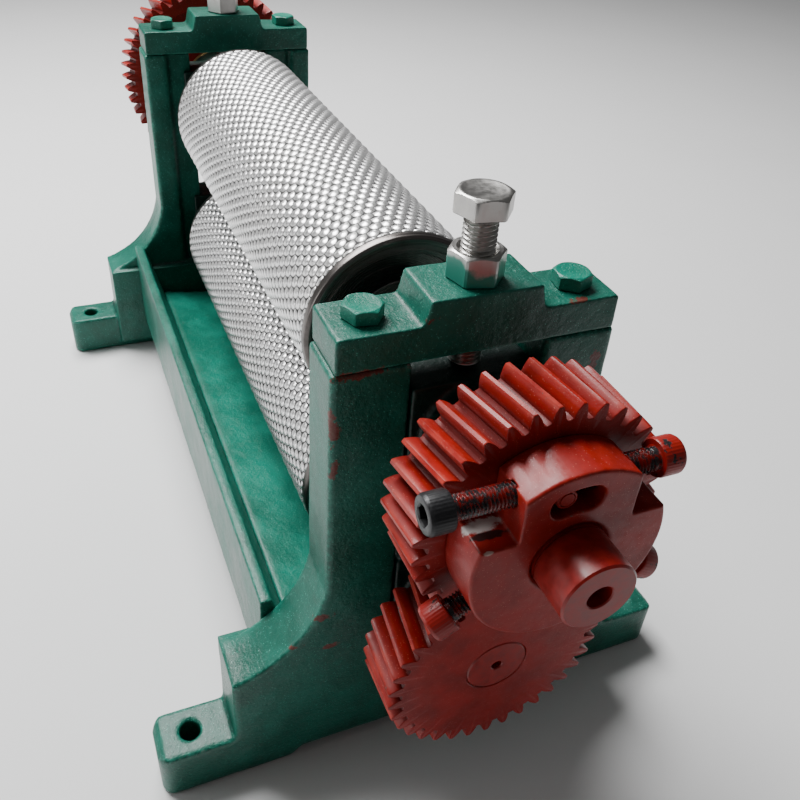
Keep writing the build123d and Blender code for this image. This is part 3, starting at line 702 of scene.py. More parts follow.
def plain_metal(name, dark, light, rough_range):
    """Bare machine metal with a cloudy tone and a fine grain."""
    material, sketch, shader, place = start_material(name)
    cloud = sketch.noise(place, 140.0, 4.0, 0.6)
    grain = sketch.noise(place, 1300.0, 3.0, 0.6)
    metallic = sketch.step(cloud, 0.2, 0.8, 1.0, 0.9)
    rough = sketch.step(grain, 0.3, 0.7, *rough_range)
    normal = sketch.bump(grain, 0.3, 0.00005, sketch.bump(cloud, 0.25, 0.0002))
    surface(sketch, shader, sketch.mix(cloud, dark, light), rough, normal, metallic)
    return material


RED_FROM_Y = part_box("phase_hub")[1][1] + 2 * MM
ALLOY = embossed_alloy()
OILY = (0.045, 0.040, 0.038, 1), (0.24, 0.22, 0.21, 1)
WIPED = (0.20, 0.19, 0.18, 1), (0.50, 0.48, 0.46, 1)
RIM_UPPER = turned_steel("turned rims of the upper roller", UPPER_Z, *OILY)
RIM_LOWER = turned_steel("turned rims of the lower roller", LOWER_Z, *OILY)
SHAFT_UPPER = turned_steel("upper shaft", UPPER_Z, *WIPED, RED_FROM_Y)
SHAFT_LOWER = turned_steel("lower shaft", LOWER_Z, *WIPED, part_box("lower_gear")[1][1])
ZINC = zinc_plate("zinc plate")
ZINC_SMEARED = zinc_plate("zinc plate smeared with green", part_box("front_locknut")[0][2] + 4.5 * MM)
BRONZE = plain_metal("bush bronze", (0.33, 0.20, 0.08, 1), (0.55, 0.36, 0.15, 1), (0.28, 0.45))
BLACK = screw_finish("black oxide with red on the thread", 0.75)
WORN_RED = screw_finish("black oxide under worn red", 0.40)
SPRING = plain_metal("spring steel", (0.10, 0.10, 0.11, 1), (0.26, 0.26, 0.27, 1), (0.25, 0.4))
print("metals ready")

# %% [markdown]
# ## Castings
#
# A sand casting has rounded corners, soft inner corners and a lumpy skin. The CAD solids have the
# right sizes but sharp edges. A voxel remesh lays an even skin over a copy of the solid, a few rounds
# of smoothing melt its edges, and noise pushes the skin in by up to a third of a millimetre. The same
# pass measures how sharply each point stands out from its neighbours, for the worn edges, the paler
# edges that are partly a painted highlight, and the painted shade in inner corners.

# %% Casting skins


def neighbour_mean(points, edges):
    """Mean of each point's neighbours, summed over all edges at once."""
    total = np.zeros_like(points)
    count = np.zeros(len(points))
    for a, b in ((0, 1), (1, 0)):
        np.add.at(total, edges[:, a], points[edges[:, b]])
        np.add.at(count, edges[:, a], 1)
    return total / np.maximum(count, 1)[:, None]


def read_mesh(mesh):
    """Points, edges and point normals of a mesh as arrays."""
    points = np.empty(len(mesh.vertices) * 3, np.float32)
    mesh.vertices.foreach_get("co", points)
    normals = np.empty(len(mesh.vertices) * 3, np.float32)
    mesh.vertex_normals.foreach_get("vector", normals)
    edges = np.empty(len(mesh.edges) * 2, np.int32)
    mesh.edges.foreach_get("vertices", edges)
    points, normals = (part.reshape(-1, 3).astype(float) for part in (points, normals))
    return points, edges.reshape(-1, 2), normals


FLAT_SKIN = 0.5


def mark_edges(mesh, voxel, rounds=2):
    """Attribute edge: 0.5 on flat skin, towards 1 on outer edges and 0 in inner corners, from how
    far a point stands out beyond the mean of its neighbours."""
    points, edges, normals = read_mesh(mesh)
    bulge = ((points - neighbour_mean(points, edges)) * normals).sum(1)[:, None]
    for _ in range(rounds):
        bulge = (bulge + neighbour_mean(bulge, edges)) / 2
    value = np.clip(FLAT_SKIN + bulge[:, 0] / voxel * 3.5, 0.0, 1.0)
    mark_points(mesh, "edge", value)


def mark_even(mesh):
    """Attribute edge at its flat-skin value, for painted pieces whose edges hold their paint."""
    mark_points(mesh, "edge", np.full(len(mesh.vertices), FLAT_SKIN))


def casting_mesh(node, voxel, rounds, lump, lump_size):
    """Even skin over a CAD solid, smoothed and pushed inwards by noise."""
    copy = new_object("copy of " + node, frame["nodes"][node].data.copy())
    tidy_mesh(copy.data, 1e-5)
    remesh = copy.modifiers.new("skin", "REMESH")
    remesh.mode = "VOXEL"
    remesh.voxel_size = voxel
    remesh.use_smooth_shade = True
    graph = bpy.context.evaluated_depsgraph_get()
    mesh = bpy.data.meshes.new_from_object(copy.evaluated_get(graph))
    bpy.data.objects.remove(copy)
    mesh.materials.clear()
    mesh.name = node.replace("_", " ") + " skin"
    points, edges, _ = read_mesh(mesh)
    for _ in range(rounds):
        points = (points + neighbour_mean(points, edges)) / 2
    mesh.vertices.foreach_set("co", points.astype(np.float32).ravel())
    mesh.update()
    points, _, normals = read_mesh(mesh)
    push = lump * (0.5 + 0.35 * field(points, lump_size) + 0.15 * field(points, lump_size / 3))
    points -= normals * push[:, None]
    mesh.vertices.foreach_set("co", points.astype(np.float32).ravel())
    mesh.update()
    mark_edges(mesh, voxel)
    mesh.shade_smooth()
    return mesh


FINE = 1.0
SAND_LUMP = 0.35 * MM
SAND_LUMP_SIZE = 7 * MM
CASTINGS = {
    "front_cheek": (1.2 * MM, 2, GREEN_DAUBED),
    "rear_cheek": (1.2 * MM, 2, GREEN),
    "left_rail": (1.1 * MM, 2, GREEN),
    "right_rail": (1.1 * MM, 2, GREEN),
    "front_cap": (0.7 * MM, 2, GREEN_DAUBED),
    "rear_cap": (0.7 * MM, 2, GREEN),
    "drip_trough": (1.5 * MM, 4, GREEN_PAINTED_LIGHT),
}
for level in ("lower", "upper"):
    for end in ("front", "rear"):
        CASTINGS[f"{end}_{level}_bearing_block"] = (0.9 * MM, 2, GREEN_PAINTED_SHADE)
BODIES = frame["record"]["behaviour"]["bodies"]
BODY_OF = {node: body for body, nodes in BODIES.items() for node in nodes}
for node, (voxel, rounds, paint) in CASTINGS.items():
    skin = casting_mesh(node, voxel * FINE, rounds, SAND_LUMP, SAND_LUMP_SIZE)
    piece("cast_" + node, skin, BODY_OF[node], paint, [node])

# %% [markdown]
# ## Turned pieces
#
# Shafts, end flanges and bushes are turned on a lathe, and so is their mesh: a profile of (place
# along Y, radius) pairs is carried round the axis. The profile is walked right round the section, so
# the surface closes on itself and a hollow piece needs nothing more.

# %% The lathe


def lathe_points(profile, axis_z, count):
    """Each profile pair (y, r) becomes a ring: x = r cos t, z = axis + r sin t, t in equal steps."""
    turn = np.linspace(0, 2 * np.pi, count, endpoint=False)[:, None]
    y, r = np.array(profile).T
    x = r * np.cos(turn)
    z = axis_z + r * np.sin(turn)
    return np.stack([x, np.broadcast_to(y, x.shape), z], -1).reshape(-1, 3)


def lathe_mesh(name, profile, axis_z, count=160):
    """Closed body of revolution; a profile that starts and ends on the axis closes at its poles."""
    points = lathe_points(profile, axis_z, count)
    on_axis = profile[0][1] == 0
    faces = grid_faces(count, len(profile), True, not on_axis)
    mesh = mesh_from(name, points, faces)
    tidy_mesh(mesh)
    smooth_by_angle(mesh, 28)
    return mesh


def rounded(profile, size):
    """Cuts every corner of a profile by a small bevel, as the file and the emery cloth do."""
    result = [profile[0]]
    for before, corner, after in zip(profile, profile[1:], profile[2:]):
        for other in (before, after):
            span = math.dist(corner, other)
            share = min(size / span, 0.4) if span else 0
            result.append(tuple(c + (o - c) * share for c, o in zip(corner, other)))
    return result + [profile[-1]]


def shaft_profile(node, shoulder_node, drill_r, drill_depth, groove=()):
    """Journal, shoulder and journal, with a drilled centre at the front end and, for the upper shaft,
    the narrow groove that ends the hub's seat."""
    first, last = stretch(node)
    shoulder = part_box(shoulder_node)[1][1] + 0.3 * MM
    back = -shoulder
    burr, bevel, step = 0.4 * MM, 0.7 * MM, 0.6 * MM
    return [
        (first + drill_depth, 0), (first + drill_depth - drill_r * 0.6, drill_r),
        (first + burr, drill_r), (first, drill_r + burr),
        (first, SHAFT_R - bevel), (first + bevel, SHAFT_R), *groove, (shoulder, SHAFT_R),
        (shoulder, SHOULDER_R - step), (shoulder + step, SHOULDER_R),
        (back - step, SHOULDER_R), (back, SHOULDER_R - step),
        (back, SHAFT_R), (last - bevel, SHAFT_R), (last, SHAFT_R - bevel), (last, 0),
    ]


HUB_FACE_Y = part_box("phase_hub")[0][1]
GROOVE_R = SHAFT_R - 0.6 * MM
GROOVE_Y = HUB_FACE_Y - 0.8 * MM
GROOVE = [(GROOVE_Y, SHAFT_R), (GROOVE_Y, GROOVE_R), (HUB_FACE_Y, GROOVE_R), (HUB_FACE_Y, SHAFT_R)]
upper_section = shaft_profile("upper_shaft", "front_upper_bearing_block", 4.4 * MM, 14 * MM, GROOVE)
UPPER_SHAFT = lathe_mesh("upper shaft body", upper_section, UPPER_Z)
piece("turned_upper_shaft", UPPER_SHAFT, "upper_roller", SHAFT_UPPER, ["upper_shaft"])
lower_section = shaft_profile("lower_shaft", "front_lower_bearing_block", 2.2 * MM, 8 * MM)
LOWER_SHAFT = lathe_mesh("lower shaft body", lower_section, LOWER_Z)
piece("turned_lower_shaft", LOWER_SHAFT, "lower_roller", SHAFT_LOWER, ["lower_shaft"])

# %% [markdown]
# ## End flanges
#
# Each roller is closed by a steel flange with a raised rim, a deep ring-shaped recess and a hub on
# the shaft. The rim has a fine groove where it meets the embossed sleeve.

# %% Four flanges, two per roller


def flange_profile(end_y, inward):
    """Section of a flange from its hub's bore round the recess and the rim, back to the bore."""
    rim = ROLLER_R - 0.45 * MM
    hub, lip, recess, plug = 23.2 * MM, 36.5 * MM, 33.5 * MM, 36.9 * MM
    pairs = [
        (0, SHOULDER_R), (0, hub), (12, hub), (12, recess), (3, recess), (3, lip),
        (0.4, lip), (0, lip + 0.4 * MM), (0, rim - 1.6 * MM), (1.2, rim), (5, rim),
        (5, plug), (20, plug), (20, SHOULDER_R), (0, SHOULDER_R),
    ]
    return [(end_y + inward * depth * MM, radius) for depth, radius in pairs]


for roller, axis, rim_paint in (("upper", UPPER_Z, RIM_UPPER), ("lower", LOWER_Z, RIM_LOWER)):
    near, far = stretch(roller + "_roller_flanges")
    for end, end_y, inward in (("front", near, 1), ("rear", far, -1)):
        section = rounded(flange_profile(end_y, inward), 0.35 * MM)
        flange = lathe_mesh(f"{roller} {end} flange body", section, axis, 192)
        replaced = [roller + "_roller_flanges"] if end == "front" else []
        name = f"{end}_flange_of_{roller}_roller"
        piece(name, flange, roller + "_roller", rim_paint, replaced)

# %% [markdown]
# ## Honeycomb rollers
#
# Bees build on sheets that carry the floors of their cells: each cell's floor is three rhombs that
# meet in a point. The roller carries the same relief, a hexagon with a three-sided roof, and a groove
# round each hexagon that presses the start of the wall. Drawing it as a bump would lose the outline
# of the roller, so every cell is real: a small fan of facets, stamped over the whole cylinder as
# arrays, and merged where cells share their groove.

# %% One cell, stamped everywhere
CELLS_ROUND = 50
CELL_FLATS = 2 * math.pi * ROLLER_R / CELLS_ROUND
CELL_CORNER = CELL_FLATS / math.sqrt(3)
ROW_PITCH = 1.5 * CELL_CORNER
FACET_FALL = 0.28
WALL_GROOVE = 0.50 * MM


def cell_template():
    """Points (around, along, depth) of one cell and its triangles.  Depth falls from the middle as
    FACET_FALL times the largest projection on three directions 120 degrees apart; the outer ring
    lies one groove deeper."""
    corner = np.radians(np.arange(6) * 60.0 + 30.0)
    ring = np.stack([np.cos(corner), np.sin(corner)], 1) * CELL_CORNER
    lobes = np.radians(np.array([90.0, 210.0, 330.0]))
    towards = np.stack([np.cos(lobes), np.sin(lobes)], 1)
    flat = np.concatenate([np.zeros((1, 2)), ring * 0.12, ring * 0.83, ring * 0.88, ring])
    depth = np.max(flat @ towards.T, axis=1) * FACET_FALL
    depth[0:1] += 0.06 * MM
    depth[13:19] += 0.10 * MM
    depth[19:25] += WALL_GROOVE
    triangles = []
    for side in range(6):
        after = (side + 1) % 6
        triangles.append((0, 1 + side, 1 + after))
        for inner in (1, 7, 13):
            a, b, c, d = inner + side, inner + after, inner + 6 + after, inner + 6 + side
            triangles += [(a, d, c), (a, c, b)]
    return flat, depth, np.array(triangles)


def roller_mesh(name, near, far, axis_z, phase):
    """Stamps the cell over rows and columns, every other row half a cell on, wraps the plane on the
    cylinder, drops what is past the ends, merges shared points and closes the ends."""
    flat, depth, triangles = cell_template()
    rows = int(math.ceil((far - near) / ROW_PITCH)) + 2
    row = np.arange(-1, rows)[:, None]
    column = np.arange(CELLS_ROUND)[None, :]
    around = ((column + 0.5 * (row % 2)) * CELL_FLATS + phase)[..., None] + flat[:, 0]
    along = np.broadcast_to(near + (row * ROW_PITCH)[..., None] + flat[:, 1], around.shape)
    deep = np.broadcast_to(depth, around.shape)
    along = np.clip(along, near, far)
    angle = around / ROLLER_R
    radius = ROLLER_R - deep
    points = np.stack([radius * np.cos(angle), along, axis_z + radius * np.sin(angle)], -1)
    points = points.reshape(-1, 3)
    cells = around.shape[0] * CELLS_ROUND
    faces = (triangles[None] + (np.arange(cells) * len(flat))[:, None, None]).reshape(-1, 3)
    y = points[:, 1]
    outside = (y[faces].max(1) - y[faces].min(1)) < 1e-9
    faces = faces[~(outside & ((y[faces[:, 0]] <= near) | (y[faces[:, 0]] >= far)))]
    key = np.round(points / 2e-6).astype(np.int64)
    _, first, back = np.unique(key, axis=0, return_index=True, return_inverse=True)
    points, faces = points[first], back.ravel()[faces]
    depths = deep.reshape(-1)[first]
    kept = (faces[:, 0] != faces[:, 1]) & (faces[:, 1] != faces[:, 2]) & (faces[:, 0] != faces[:, 2])
    return close_ends(name, points, faces[kept], depths, near, far, axis_z)


def close_ends(name, points, faces, depths, near, far, axis_z, bore=37.0 * MM):
    """Joins each end's outline to a bore circle at the same angles, and the two circles, which are the
    only open rings left, by a wall."""
    used = np.unique(faces)
    renumber = np.full(len(points), -1)
    renumber[used] = np.arange(len(used))
    points, depths, faces = points[used], depths[used], renumber[faces]
    extra_points, extra_faces = [], []
    total = len(points)
    for end_y in (near, far):
        ends = np.concatenate([faces[:, [0, 1]], faces[:, [1, 2]], faces[:, [2, 0]]])
        tied = np.sort(ends, 1)
        _, index, count = np.unique(tied, axis=0, return_index=True, return_counts=True)
        border = ends[index[count == 1]]
        border = border[np.abs(points[border[:, 0], 1] - end_y) < 1e-6]
        rim = np.unique(border)
        partner = {int(v): total + i for i, v in enumerate(rim)}
        turn = np.arctan2(points[rim, 2] - axis_z, points[rim, 0])
        circle = [bore * np.cos(turn), np.full(len(rim), end_y), axis_z + bore * np.sin(turn)]
        extra_points.append(np.stack(circle, -1))
        for a, b in border:
            extra_faces += [(b, a, partner[int(a)]), (b, partner[int(a)], partner[int(b)])]
        total += len(rim)
    all_points = np.concatenate([points] + extra_points)
    mesh = mesh_from(name, all_points, np.concatenate([faces, np.array(extra_faces)]))
    turn_outwards(mesh, lambda work: bmesh.ops.bridge_loops(work, edges=open_edges(work)))
    value = np.zeros(len(mesh.vertices))
    value[: len(depths)] = np.clip(depths / (CELL_CORNER * FACET_FALL + WALL_GROOVE), 0, 1)
    mark_points(mesh, "depth", value)
    return mesh


RIM_LENGTH = 5 * MM
for roller, axis, phase in (("upper", UPPER_Z, 0.0), ("lower", LOWER_Z, 0.5 * CELL_FLATS)):
    near, far = stretch(roller + "_roller_flanges")
    shell = roller_mesh(roller + " roller shell", near + RIM_LENGTH, far - RIM_LENGTH, axis, phase)
    body, replaced = roller + "_roller", [roller + "_roller_shell"]
    piece(f"embossed_{roller}_roller", shell, body, ALLOY, replaced)

# %% [markdown]
# ## Gears
#
# A helical gear is its outline, carried along the shaft while it turns a little. The outline is the
# involute, the curve of a string unwound from a circle. The whole gear is one closed grid: the path
# starts in the bore, crosses the front face, goes over the teeth in slices with small bevels at both
# ends, and returns along the rear face.

# %% The gear outline and the gear body
FRONT_TEETH = 34
MODULE = (UPPER_Z - LOWER_Z) / FRONT_TEETH
ADDENDUM = 2.75 * MM
DEDENDUM = 3.3 * MM
PRESSURE = math.radians(20.0)
BACKLASH = 0.07 * MM
ROOT_FILLET = 0.4 * MM
TIP_BREAK = 0.12 * MM


def gear_outline(count, samples=6):
    """Angles and radii of all outline points.  Half the tooth at radius r spans
    pi/(2N) + inv(20 degrees) - inv(acos(base/r)), where inv(a) = tan(a) - a."""
    pitch = count * MODULE / 2
    base, tip, root = pitch * math.cos(PRESSURE), pitch + ADDENDUM, pitch - DEDENDUM
    radius = np.linspace(max(base, root + ROOT_FILLET), tip, samples)
    roll = np.arccos(np.minimum(1.0, base / radius))
    at_pitch = math.pi / (2 * count) - BACKLASH / pitch + math.tan(PRESSURE) - PRESSURE
    half = at_pitch - (np.tan(roll) - roll)
    gap = math.pi / count - half[0]
    foot, low = half[0] + 0.85 * gap, half[0] + 0.32 * gap
    radius[-1] = tip - TIP_BREAK
    tip_half = half[-1] - 0.14 * MM / tip
    fillet = root + ROOT_FILLET
    r = np.concatenate([[root, fillet], radius, [tip, tip], radius[::-1], [fillet]])
    t = np.concatenate([[-foot, -low], -half, [-tip_half, tip_half], half[::-1], [low]])
    teeth = 2 * math.pi * np.arange(count)[:, None] / count
    return (teeth + t).ravel(), np.broadcast_to(r, (count, len(r))).ravel().copy(), root, tip


def gear_path(y, face_rings, slices=10, bevel=0.45 * MM):
    """Steps (end, kind, value, depth) over the front face, the teeth and the rear face: a ring's value
    is its radius, an outline's is how far it is pulled in, and depth is counted from that end."""
    corner = [(bevel * 1.1, 0.0), (bevel * 0.3, bevel * 0.35), (0.0, bevel)]
    span = y[1] - y[0] - 2 * bevel
    path = [(y[0], "ring", radius, depth) for radius, depth in face_rings]
    path += [(y[0], "outline", pull, depth) for pull, depth in corner]
    path += [(y[0], "outline", 0.0, bevel + span * k / slices) for k in range(1, slices)]
    path += [(y[1], "outline", pull, -depth) for pull, depth in reversed(corner)]
    return path + [(y[1], "ring", radius, -depth) for radius, depth in reversed(face_rings)]


def gear_mesh(name, count, y, axis_z, phase, twist, face_rings):
    """Grid of outline angles against the path's steps.  phase is a tooth's angle at the first
    station; twist is in radians per metre."""
    angles, radii, root, tip = gear_outline(count)
    toothed = radii > root + 0.3 * MM
    path = gear_path(y, face_rings)
    rings = []
    marks = []
    for base_y, kind, value, depth in path:
        place = base_y + depth
        turn = angles + phase + twist * (place - y[0])
        reach = np.full(len(radii), value) if kind == "ring" else radii - value * toothed
        ring = [reach * np.cos(turn), np.full(len(turn), place), axis_z + reach * np.sin(turn)]
        rings.append(np.stack(ring, -1))
        # Edge values fall towards the roots, which red_enamel darkens partly as pooled paint and partly
        # as painted shade, and rise towards the tips, which it paints paler partly as thin film and
        # partly as a painted highlight.
        height = (reach - root) / (tip - root)
        on_face = kind == "ring" or depth == 0.0
        marks.append(np.where(on_face, FLAT_SKIN, 0.12 + 0.86 * np.clip(height, 0, 1) ** 1.5))
    points = np.stack(rings, 1).reshape(-1, 3)
    faces = grid_faces(len(angles), len(path), True, True)
    mesh = mesh_from(name, points, faces)
    mark_points(mesh, "edge", np.stack(marks, 1).ravel())
    turn_outwards(mesh)
    smooth_by_angle(mesh, 24)
    return mesh


def tooth_at(phase_at_front, y, front_y, twist):
    """A tooth's angle at y: its angle at the front plus the twist over the distance."""
    return phase_at_front + twist * (y - front_y)


HAND = math.radians(0.202) / MM
UPPER_Y = stretch("upper_gear")
LOWER_Y = stretch("lower_gear")
UPPER_PHASE = math.radians(-3.25)
PITCH_STEP = 2 * math.pi / FRONT_TEETH
LOWER_PHASE = PITCH_STEP / 2 - tooth_at(UPPER_PHASE, LOWER_Y[0], UPPER_Y[0], HAND)
FACE = [(SHAFT_R + 0.06 * MM, 0.3 * MM), (SHAFT_R + 0.35 * MM, 0.0), (20 * MM, 0.0), (30 * MM, 0.0)]
upper_teeth = gear_mesh("upper gear body", FRONT_TEETH, UPPER_Y, UPPER_Z, UPPER_PHASE, HAND, FACE)
piece("cut_upper_gear", upper_teeth, "upper_gear", RED_UPPER, ["upper_gear"])
lower_teeth = gear_mesh("lower gear body", FRONT_TEETH, LOWER_Y, LOWER_Z, LOWER_PHASE, -HAND, FACE)
piece("cut_lower_gear", lower_teeth, "lower_roller", RED_LOWER, ["lower_gear"])
DRIVE_Y = stretch("drive_gear")
DRIVE_FACE = [(SHAFT_R + 0.02 * MM, 0.5 * MM), (SHAFT_R + 0.5 * MM, 0.0), (24.4 * MM, 0.0),
              (25 * MM, 0.6 * MM), (26 * MM, 6 * MM), (48.4 * MM, 6 * MM), (49 * MM, 0.6 * MM),
              (49.6 * MM, 0.0), (53 * MM, 0.0)]
drive_teeth = gear_mesh("drive gear body", 47, DRIVE_Y, UPPER_Z, 0.0, HAND, DRIVE_FACE)
piece("cut_drive_gear", drive_teeth, "upper_roller", RED_DRIVE, ["drive_gear"])

# %% [markdown]
# ## The phase hub
#
# The hub is turned like the gears but then notched and slotted, so it is no body of revolution. The
# casting recipe serves again with a finer skin: its thick paint rounds every edge the same way. The
# stud and the blocks' bushes are turned.

# %% Hub, stud and bushes
hub_skin = casting_mesh("phase_hub", 0.45 * MM * FINE, 1, 0.10 * MM, 5 * MM)
piece("painted_phase_hub", hub_skin, "upper_roller", RED_HUB, ["phase_hub"])

for end, sign in (("front", -1), ("rear", 1)):
    for level, body, axis in (("upper", "upper_carriage", UPPER_Z), ("lower", "frame", LOWER_Z)):
        node = f"{end}_{level}_bush"
        near, far = stretch(node)
        inner, outer = (far, near) if sign < 0 else (near, far)
        bore, wall, collar = SHAFT_R + 0.05 * MM, 17 * MM, 20.5 * MM
        collar_y = outer - sign * 3 * MM
        section = [(inner, bore), (inner, wall), (collar_y, wall), (collar_y, collar), (outer, collar),
                   (outer, bore), (inner, bore)]
        bush = lathe_mesh(node.replace("_", " ") + " body", rounded(section, 0.3 * MM), axis, 128)
        piece("turned_" + node, bush, body, BRONZE, [node])

# %% [markdown]
# ## Hexagon heads and threads
#
# A hexagon head is a prism whose top is cut by a cone. Both are one formula: the radius is the
# smaller of the flat's distance over cos(angle) and the cone's radius, so the curved corners of the
# bevel appear by themselves. A thread is a cylinder whose radius follows a saw wave of height minus
# turn, which draws the helix without a single cut.

# %% Formulas for heads and threads


def hexagon_radius(turn, flats):
    """Distance to the side of a hexagon: half the flats over cos of the angle to the nearest flat."""
    sector = math.pi / 3
    nearest = np.mod(turn + sector / 2, sector) - sector / 2
    return flats / 2 / np.cos(nearest)


def corner_angles(steps):
    """Angles round a hexagon with a corner at zero, closer together near the corners."""
    part = np.linspace(-1, 1, steps, endpoint=False)
    eased = np.sign(part) * (1 - (1 - np.abs(part)) ** 1.6)
    return (np.arange(6)[:, None] * math.pi / 3 + eased * math.pi / 6 + math.pi / 6).ravel()


def upright_grid(x, y, turn, radius, height):
    """Points on rings round an upright axis: radius and height are arrays of rings by angles."""
    return np.stack([x + radius * np.cos(turn), y + radius * np.sin(turn), height + 0 * radius], -1)


def round_rings(turn, base, *pairs):
    """Rings of one radius each, from (radius, rise) pairs in millimetres above a base height."""
    return [(np.full(len(turn), radius * MM), base + rise * MM) for radius, rise in pairs]


def stack_rings(x, y, turn, rings):
    """Points of (radius, height) rings, one ring per row."""
    return np.stack([upright_grid(x, y, turn, radius, height) for radius, height in rings])


def hexagon_rings(turn, flats, low, high, start):
    """Rings of radius and height for a head: sides with a slightly eased foot, and the coned top."""
    side = hexagon_radius(turn - start - math.pi / 6, flats)
    corner = flats / 2 / math.cos(math.pi / 6)
    top, slope = flats / 2 * 0.95, 0.55
    rings = [(side - 0.25 * MM, low), (side, low + 0.3 * MM)]
    for share in np.linspace(0.0, 1.0, 7):
        drop = (1 - share) * (corner - top)
        rings.append((np.minimum(side, top + drop), high - drop * slope))
    return rings


def thread_rings(turn, major, pitch, low, high, depth, per_turn=12):
    """Radius follows a rounded saw of (height - pitch * turn / full turn), fading at both ends."""
    count = max(8, int((high - low) / pitch * per_turn))
    height = np.linspace(low, high, count)[:, None]
    wave = np.mod(height / pitch - turn / (2 * math.pi), 1.0)
    saw = np.clip(np.abs(wave - 0.5) * 2.6 - 0.15, 0.0, 1.0)
    fade = np.clip(np.minimum(height - low, high - height) / (pitch * 0.6), 0, 1)
    radius = major - depth * (1 - saw) * fade
    return [(radius[i], float(height[i, 0])) for i in range(count)]


def cap_off(name, points, crisp):
    """Closes a stack of rings with one face at each end, and shades it."""
    rings, count = points.shape[:2]
    mesh = mesh_from(name, points.reshape(-1, 3), grid_faces(rings, count, False, True))
    turn_outwards(mesh, lambda work: bmesh.ops.holes_fill(work, edges=open_edges(work), sides=0))
    smooth_by_angle(mesh, crisp)
    return mesh


def upright_piece(name, x, y, rings, turn, crisp=24):
    """Closed body from rings round an upright axis at x and y."""
    return cap_off(name, stack_rings(x, y, turn, rings), crisp)


print("corner angles", len(corner_angles(12)))

# %% [markdown]
# ## Adjusting bolts, locknuts and cap bolts
#
# The adjusting bolt's thread shows between head and nut, so it is cut at its true 1.75 mm pitch. The
# nut has a coned top and a washer-like ring where the thread comes out. The cap bolts were painted
# over with the castings, which fills their corners a little.

# %% The bolts of both ends
CHEEK_Y = {end: sum(stretch(end + "_cap")) / 2 for end in ("front", "rear")}
TURNS = {"front": {"head": -10, "nut": -15, "bolts": (-9, 22)},
         "rear": {"head": -26, "nut": 9, "bolts": (16, -25)}}
HEX_TURN = corner_angles(14)


def adjusting_bolt(end):
    """Rings from the tip up: chamfer, thread, plain neck, underside, coned hexagon, shallow dish."""
    low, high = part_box(end + "_adjusting_bolt")
    head_low = high[2] - 7.5 * MM
    start = math.radians(TURNS[end]["head"])
    rings = round_rings(HEX_TURN, low[2], (4.2, 0), (5.1, 1))
    thread_low, thread_high = low[2] + 1.2 * MM, head_low - 1.2 * MM
    rings += thread_rings(HEX_TURN, 6 * MM, 1.75 * MM, thread_low, thread_high, 1.05 * MM)
    rings += round_rings(HEX_TURN, head_low, (5.9, -0.5), (6.2, 0), (8.2, 0.01))
    rings += hexagon_rings(HEX_TURN, 18 * MM, head_low, high[2], start)
    rings += round_rings(HEX_TURN, high[2], (7.6, 0), (7.2, -0.15))
    return upright_piece(end + " adjusting bolt body", 0, CHEEK_Y[end], rings, HEX_TURN, 30)


def locknut(end):
    """A ring of rings: hexagon outside, cone on top, plain bore inside, joined again at the foot."""
    low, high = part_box(end + "_locknut")
    start = math.radians(TURNS[end]["nut"])
    bore = 6.1
    rings = round_rings(HEX_TURN, low[2], (bore + 0.3, 0))
    rings += hexagon_rings(HEX_TURN, 18 * MM, low[2], high[2], start)
    rings += round_rings(HEX_TURN, high[2], (7.3, 0), (bore, -1))
    rings += round_rings(HEX_TURN, low[2], (bore, 0.5))
    points = stack_rings(0, CHEEK_Y[end], HEX_TURN, rings)
    faces = grid_faces(len(rings), len(HEX_TURN), True, True)
    mesh = mesh_from(end + " locknut body", points.reshape(-1, 3), faces)
    tidy_mesh(mesh)
    smooth_by_angle(mesh, 24)
    return mesh


def cap_bolt(end, x, start, number):
    """Rings from the tip up: shank, underside, coned hexagon, shallow dish."""
    low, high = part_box(end + "_cap_bolts")
    head_low = high[2] - 5.3 * MM
    rings = round_rings(HEX_TURN, low[2], (3.4, 0), (4, 0.6))
    rings += round_rings(HEX_TURN, head_low, (4, 0), (6.1, 0))
    rings += hexagon_rings(HEX_TURN, 13 * MM, head_low, high[2], math.radians(start))
    rings += round_rings(HEX_TURN, high[2], (5.4, 0), (5.0, -0.1))
    return upright_piece(f"{end} cap bolt {number} body", x, CHEEK_Y[end], rings, HEX_TURN)


for end in ("front", "rear"):
    node = end + "_adjusting_bolt"
    piece("threaded_" + node, adjusting_bolt(end), node, ZINC, [node])
    node, finish = end + "_locknut", ZINC_SMEARED if end == "front" else ZINC
    piece("coned_" + node, locknut(end), node, finish, [node])
    for number, (x, start) in enumerate(zip((-40 * MM, 40 * MM), TURNS[end]["bolts"])):
        replaced = [end + "_cap_bolts"] if number == 0 else []
        bolt = cap_bolt(end, x, start, number + 1)
        mark_even(bolt)
        name = f"{end}_cap_bolt_{number + 1}"
        # The cap bolts take the green enamel brightened as painted light.
        piece(name, bolt, "frame", GREEN_PAINTED_LIGHT, replaced)

# %% [markdown]
# ## Socket screws
#
# Four socket-head screws work on the hub: two press the stud from the sides and two clamp the hub on
# its shaft. Each is one stack of rings along its own axis, thread, underside, knurled head, and the
# six-sided socket, and is then turned into place.

# %% Socket screws


